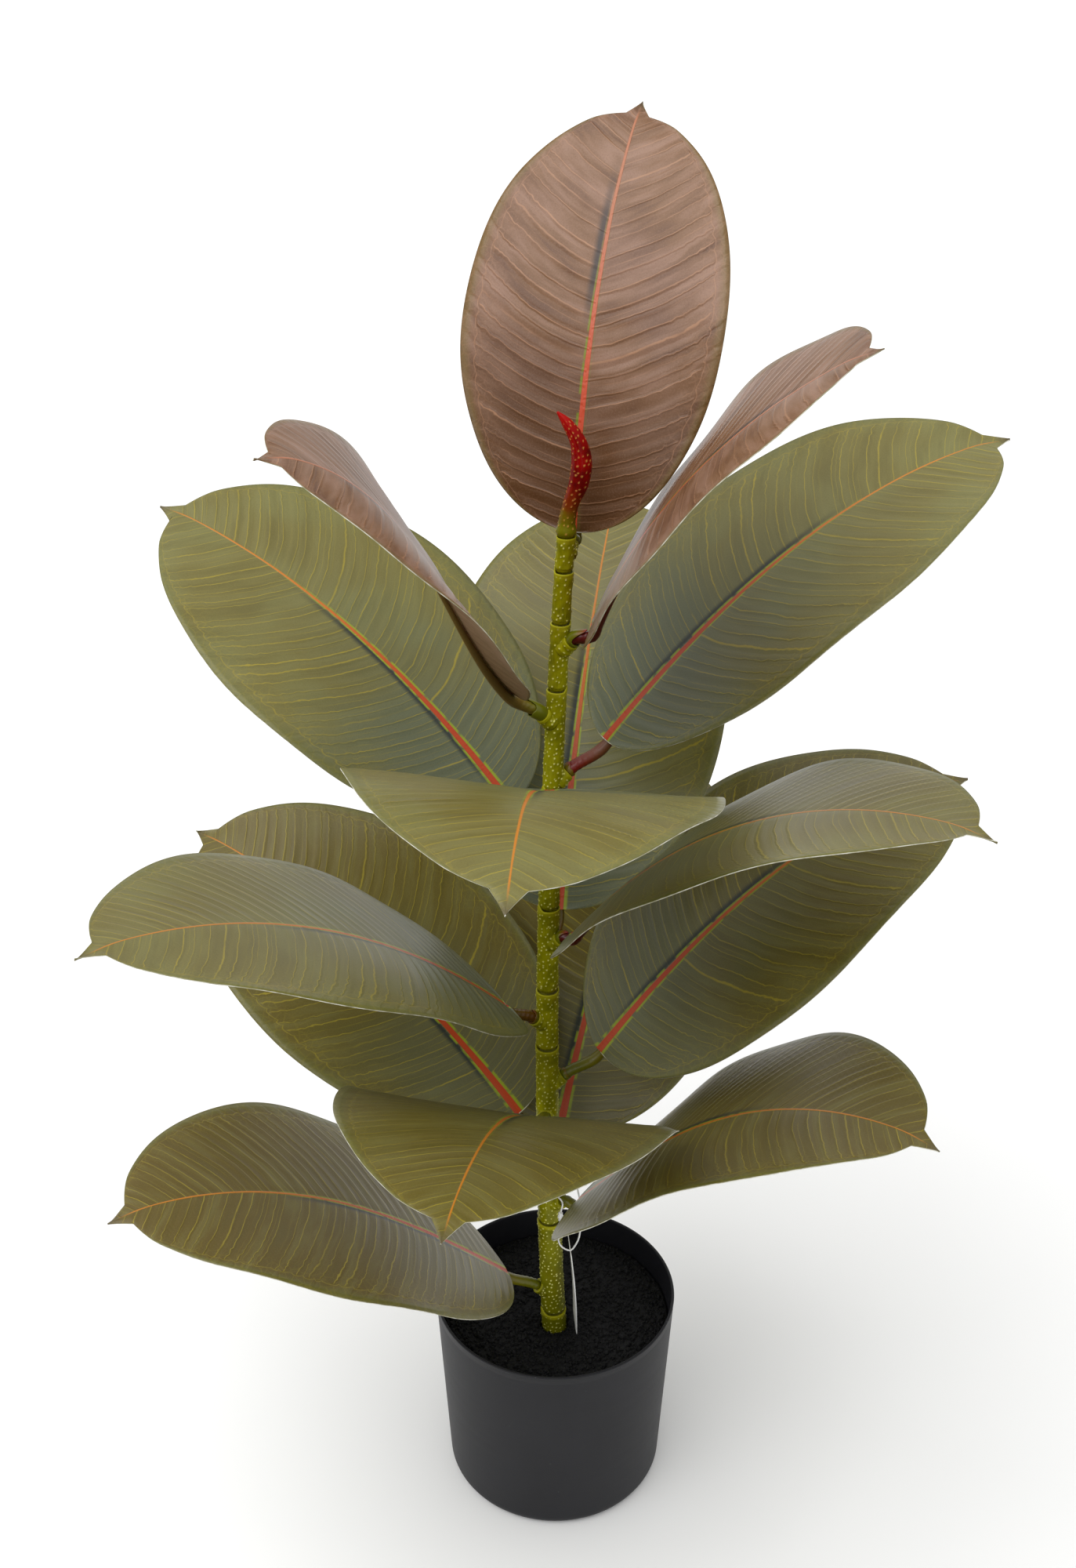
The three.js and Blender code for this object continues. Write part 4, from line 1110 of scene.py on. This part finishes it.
def make_pot():
    """The pot as a turned profile, with quarter rounds between wall and floor, inside and out, and a rounded rim."""
    turn = np.radians(np.linspace(0, 90, 9))
    centre = pot_wall(POT_ROUND) - POT_ROUND
    outside = np.stack([centre + POT_ROUND * np.sin(turn), POT_ROUND * (1 - np.cos(turn))], -1)
    up = np.linspace(POT_ROUND, POT_HEIGHT - 0.9, 26)[1:]
    lip = np.radians(np.linspace(0, 180, 9))
    half = POT_WALL / 2
    rim = np.stack([POT_RIM - half + half * np.cos(lip), POT_HEIGHT - half + half * np.sin(lip)], -1)
    inner = POT_ROUND - POT_WALL
    inside = np.stack([centre + inner * np.sin(turn[::-1]), POT_FLOOR + inner * (1 - np.cos(turn[::-1]))], -1)
    down = up[::-1][1:]
    profile = np.concatenate([
        POT_FOOT, outside, np.stack([pot_wall(up), up], -1), rim,
        np.stack([pot_wall(down) - POT_WALL, down], -1), inside, [[0.5, POT_FLOOR]],
    ])
    points, faces = closed_tube(turned_grid(profile, POT_SIDES))
    make_piece("pot", points, faces, [pot_material()], ["pot"])


make_pot()


# ------------------------------------------------------------------ soil
def soil_material():
    """Black crumb with a faint cold gloss."""
    material, nodes, shader = new_material("soil_crumb", 0.8, Specular_IOR_Level=0.3)
    grain = nodes.group(GRAIN, {"Fine": 700.0, "Cloud": 260.0})
    tone = nodes.mix(nodes.step(grain["Tone"], 0.3, 0.75), colour(5, 5, 6), colour(19, 19, 21))
    nodes.put(shader["Base Color"], tone)
    nodes.put(shader["Roughness"], nodes.plus(0.62, nodes.times(grain["Height"], 0.3)))
    nodes.put(shader["Normal"], relief(nodes, grain["Height"], 0.8, 0.0006))
    return material


def crumb_shape():
    """The corners and faces of a ball of twenty triangles."""
    g = (1 + 5**0.5) / 2
    corners = unit(np.array([
        [-1, g, 0], [1, g, 0], [-1, -g, 0], [1, -g, 0], [0, -1, g], [0, 1, g],
        [0, -1, -g], [0, 1, -g], [g, 0, -1], [g, 0, 1], [-g, 0, -1], [-g, 0, 1],
    ]))
    faces = np.array([
        [0, 11, 5], [0, 5, 1], [0, 1, 7], [0, 7, 10], [0, 10, 11], [1, 5, 9], [5, 11, 4], [11, 10, 2], [10, 7, 6],
        [7, 1, 8], [3, 9, 4], [3, 4, 2], [3, 2, 6], [3, 6, 8], [3, 8, 9], [4, 9, 5], [2, 4, 11], [6, 2, 10],
        [8, 6, 7], [9, 8, 1],
    ])
    return corners, faces


def soil_height(x, y):
    """The soil's level: a low mound towards the stem with slow unevenness."""
    r = np.hypot(x, y)
    mound = SOIL_TOP - 1.0 + (SOIL_MOUND - 1.2) * (1 - (r / 70) ** 2) + 2.2 * soft_step(y + 0.4 * x, -10, 70)
    return mound + 0.5 * np.sin(x * 0.11 + 1) * np.cos(y * 0.09) + 0.35 * np.sin(x * 0.31) * np.sin(y * 0.27 + 2)


CRUMBS = 5200
SOIL_DEPTH = 11.0
SOIL_GAP = 0.2


def make_soil():
    """The crumb layer: an uneven disc under a few thousand loose crumbs, each a rough ball turned at random."""
    rng = np.random.default_rng(500)
    limit = pot_wall(SOIL_TOP - SOIL_DEPTH) - POT_WALL - SOIL_GAP
    rings = np.linspace(8.6, limit, 64)
    sides = 180
    angle = np.linspace(0, 2 * np.pi, sides, endpoint=False)
    r, a = np.meshgrid(rings, angle, indexing="ij")
    centre = stem_at(SOIL_TOP)
    pull = 1 - (r - rings[0]) / (limit - rings[0])
    x, y = r * np.cos(a) + centre[0] * pull, r * np.sin(a) + centre[1] * pull
    z = soil_height(x, y) + rng.normal(0, 0.22, x.shape)
    top = np.stack([x, y, z], -1)
    foot = top[-1:].copy()
    foot[..., 2] = SOIL_TOP - SOIL_DEPTH
    low_inner = top[:1].copy()
    low_inner[..., 2] = SOIL_TOP - SOIL_DEPTH
    grid = np.concatenate([foot, top[::-1], low_inner], 0)
    disc_points = grid.reshape(-1, 3)
    disc_faces = quads(len(grid), sides, True)
    ring_close = quads(2, sides, True).copy()
    last = (len(grid) - 1) * sides
    ring_close = np.where(ring_close < sides, ring_close + last, ring_close - sides)
    corners, triangles = crumb_shape()
    count = CRUMBS
    near, far = 8.2, limit - 1.2
    radius = np.sqrt(rng.uniform(near**2, far**2, count))
    turn = rng.uniform(0, 2 * np.pi, count)
    share = 1 - (radius - near) / (far - near)
    cx, cy = radius * np.cos(turn) + centre[0] * share, radius * np.sin(turn) + centre[1] * share
    size = rng.gamma(7.0, 0.115, count).clip(0.45, 1.6)
    cz = soil_height(cx, cy) + size * rng.uniform(-0.2, 0.65, count)
    spin = rng.normal(size=(count, 3, 3))
    spin = np.linalg.qr(spin)[0]
    spin[np.linalg.det(spin) < 0, 0] *= -1
    rough = rng.uniform(0.65, 1.25, (count, len(corners), 1))
    stretch = rng.uniform(0.7, 1.3, (count, 1, 3))
    crumbs = (corners[None] * rough * stretch * size[:, None, None]) @ spin
    crumbs += np.stack([cx, cy, cz], -1)[:, None]
    crumb_faces = (triangles[None] + len(corners) * np.arange(count)[:, None, None]).reshape(-1, 3)
    points, faces = joined([(disc_points, [disc_faces, ring_close]), (crumbs.reshape(-1, 3), [crumb_faces])])
    make_piece("soil", points, faces, [soil_material()], ["soil"])


make_soil()


# ------------------------------------------------------------------ hang tag
LOOP = np.array([
    [2.6, -19.6, 201.2], [1.2, -20, 192], [3.4, -20, 182.5], [8.6, -19.6, 179.4], [12.4, -18, 184], [14.4, -14, 197],
    [13.2, -7, 212], [8.4, -0.6, 223.4], [0.6, 3.4, 228], [-7.6, 1.2, 229], [-12.4, -6.6, 228.4],
    [-9.4, -15, 227], [-1.8, -20, 223.4], [3.6, -20.8, 216.8], [2.8, -19.9, 209.2],
])
CARD_HANGS = 3  # the point of the loop that the card hangs from
LOOP_DIAMETER = 1.0
LOCK_RADIUS, LOCK_LENGTH, GAP = 1.7, 3.0, 0.3
CARD_LENGTH, CARD_WIDTH, CARD_THICKNESS, CARD_HOLE_INSET = 64.0, 20.0, 0.45, 3.0
CARD_TILT, CARD_TURN = 3.6, 7.0
CARD_CORNER, CARD_BOW = 2.0, 0.9


def nylon_material():
    """White nylon, a little clouded."""
    material, nodes, shader = new_material("nylon_white", 0.3, Coat_Weight=0.2)
    grain = nodes.group(GRAIN, {"Fine": 900.0, "Cloud": 260.0})
    tone = nodes.mix(nodes.step(grain["Tone"], 0.3, 0.7), colour(226, 226, 224), colour(200, 202, 202))
    nodes.put(shader["Base Color"], tone)
    nodes.put(shader["Roughness"], nodes.plus(0.24, nodes.times(grain["Tone"], 0.14)))
    return material


def card_material():
    """White card, its tone clouded a little, with a faint paper grain."""
    material, nodes, shader = new_material("card_white", 0.6)
    grain = nodes.group(GRAIN, {"Fine": 900.0, "Cloud": 120.0})
    tone = nodes.mix(nodes.step(grain["Tone"], 0.3, 0.7), colour(240, 240, 238), colour(222, 222, 220))
    nodes.put(shader["Base Color"], tone)
    nodes.put(shader["Normal"], relief(nodes, grain["Height"], 0.3, 0.0001))
    return material


NYLON = nylon_material()


def make_loop():
    """The nylon loop as one smooth curve, from the foot of the lock bead round the stem to the bead's top."""
    knots = path_lengths(LOOP)
    line = through(knots, LOOP, np.linspace(0, knots[-1], 72))
    curve = bpy.data.curves.new("tag_loop", "CURVE")
    curve.dimensions = "3D"
    curve.bevel_depth = LOOP_DIAMETER / 2 * MM
    curve.bevel_resolution = 3
    curve.use_fill_caps = True
    spline = curve.splines.new("POLY")
    spline.points.add(len(line) - 1)
    spline.points.foreach_set("co", np.concatenate([line * MM, np.ones((len(line), 1))], 1).ravel())
    curve.materials.append(NYLON)
    loop = bpy.data.objects.new("tag_loop", curve)
    scene.collection.objects.link(loop)
    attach(loop, BODY)
    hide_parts("tag_loop")


def make_lock():
    """The lock bead: a small moulded barrel with a waist, wider at its two ends, where the filament goes in."""
    half = LOCK_RADIUS + LOCK_LENGTH / 2
    along = np.sin(np.radians(np.linspace(-90, 90, 40)))
    radius = LOCK_RADIUS * np.clip(1 - np.abs(along) ** 6, 0, 1) ** 0.5 * (0.86 + 0.13 * np.cos(2 * np.pi * along))
    centre = LOOP[0] + np.array([0, 0, half + LOOP_DIAMETER / 2 + GAP])
    line = centre + column(along * half) * np.array([0, 0, 1.0])
    radii = np.maximum(radius, 0.05)[:, None] * np.ones(32)
    points, faces = closed_tube(tube_along(line, np.array([0, 0, 1.0]), radii, np.array([1.0, 0, 0])))
    make_piece("tag_lock", points, faces, [NYLON], ["tag_lock"])


def make_card():
    """The blank card: a thin sheet whose corners are quarter rounds, hanging from near its front top corner. It bows
    sideways, most halfway down."""
    turn = np.radians(np.linspace(0, 90, 7))
    down = np.concatenate([CARD_CORNER * (1 - np.cos(turn)), np.linspace(CARD_CORNER, CARD_LENGTH / 2, 16)[1:]])
    down = np.concatenate([down, CARD_LENGTH - down[::-1][1:]])
    into_corner = np.clip(CARD_CORNER - np.minimum(down, CARD_LENGTH - down), 0, None)
    inset = CARD_CORNER - np.sqrt(np.clip(CARD_CORNER**2 - into_corner**2, 0, None))
    share = np.linspace(0, 1, 13)
    back = inset[:, None] + (CARD_WIDTH - 2 * inset[:, None]) * share[None, :] - CARD_HOLE_INSET
    fall = down[:, None] + 0 * back
    bow = CARD_BOW * np.sin(np.pi * fall / CARD_LENGTH) + 0.02 * (back + CARD_HOLE_INSET) ** 1.2
    sheet = [np.stack([bow + side * CARD_THICKNESS / 2, back, -fall], -1) for side in (1, -1)]
    rows, columns = fall.shape
    count = rows * columns
    face = quads(rows, columns, False)
    faces = [face[:, ::-1], face + count, cut_edge(rows, columns)[1]]
    points = np.concatenate([part.reshape(-1, 3) for part in sheet])
    tilt, turn = math.radians(CARD_TILT), math.radians(CARD_TURN)
    tilted = np.array([[math.cos(tilt), 0, -math.sin(tilt)], [0, 1, 0], [math.sin(tilt), 0, math.cos(tilt)]])
    turned = np.array([[math.cos(turn), -math.sin(turn), 0], [math.sin(turn), math.cos(turn), 0], [0, 0, 1]])
    points = points @ (turned @ tilted).T + LOOP[CARD_HANGS] - np.array([0, 0, LOOP_DIAMETER])
    kinds = np.repeat([0, 0, 1], [len(f) for f in faces])
    make_piece("tag_card", points, faces, [card_material()], ["tag_card"], flat=np.flatnonzero(kinds))


make_loop()
make_lock()
make_card()


# ------------------------------------------------------------------ hidden pieces
def plain_material(name, light, dark, roughness, fine, cloud, metallic=0.0):
    """A plain finish with clouded tone and grain."""
    material, nodes, shader = new_material(name, roughness, Metallic=metallic)
    grain = nodes.group(GRAIN, {"Fine": fine, "Cloud": cloud})
    nodes.put(shader["Base Color"], nodes.mix(nodes.step(grain["Tone"], 0.3, 0.7), light, dark))
    nodes.put(shader["Normal"], relief(nodes, grain["Height"], 0.6, 0.0004))
    return material


def dress(node, material):
    """Gives a CAD node a finished material in its object's slot."""
    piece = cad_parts[node]
    if not piece.data.materials:
        piece.data.materials.append(None)
    piece.material_slots[0].link = "OBJECT"
    piece.material_slots[0].material = material


CEMENT = plain_material("cement_grey", colour(150, 147, 140), colour(118, 116, 110), 0.9, 500.0, 60.0)
FOAM = plain_material("foam_white", colour(232, 230, 220), colour(212, 210, 200), 0.85, 900.0, 120.0)
dress("ballast", CEMENT)
dress("filler", FOAM)


# ------------------------------------------------------------------ floor and light
FLOOR_HALF = 30.0
SKY_STRENGTH, SUN_STRENGTH, SUN_SPREAD = 0.72, 1.95, 65


def make_stage():
    """A pale floor, a pale sky and one broad soft light."""
    material, nodes, shader = new_material("floor_pale", 0.9, Specular_IOR_Level=0.2)
    place = nodes.add("ShaderNodeTexCoord").outputs["Object"]
    tone = nodes.mix(nodes.noise(place, 3.0, 2.0), colour(250, 250, 249), colour(246, 246, 246))
    nodes.put(shader["Base Color"], tone)
    mesh = bpy.data.meshes.new("floor")
    corners = [(x * FLOOR_HALF, y * FLOOR_HALF, 0) for x, y in ((-1, -1), (1, -1), (1, 1), (-1, 1))]
    mesh.from_pydata(corners, [], [(0, 1, 2, 3)])
    mesh.materials.append(material)
    floor = bpy.data.objects.new("floor", mesh)
    scene.collection.objects.link(floor)

    world = bpy.data.worlds.new("sky")
    scene.world = world
    world.use_nodes = True
    background = world.node_tree.nodes["Background"]
    background.inputs["Color"].default_value = (1.0, 1.0, 1.0, 1.0)
    background.inputs["Strength"].default_value = SKY_STRENGTH

    # the light stands high up and a little to the front left
    data = bpy.data.lights.new("overhead", "SUN")
    data.energy = SUN_STRENGTH
    data.angle = math.radians(SUN_SPREAD)
    lamp = bpy.data.objects.new("overhead", data)
    lamp.rotation_euler = (math.radians(18), math.radians(-20), 0)
    scene.collection.objects.link(lamp)
    scene.view_settings.view_transform = "Standard"


make_stage()
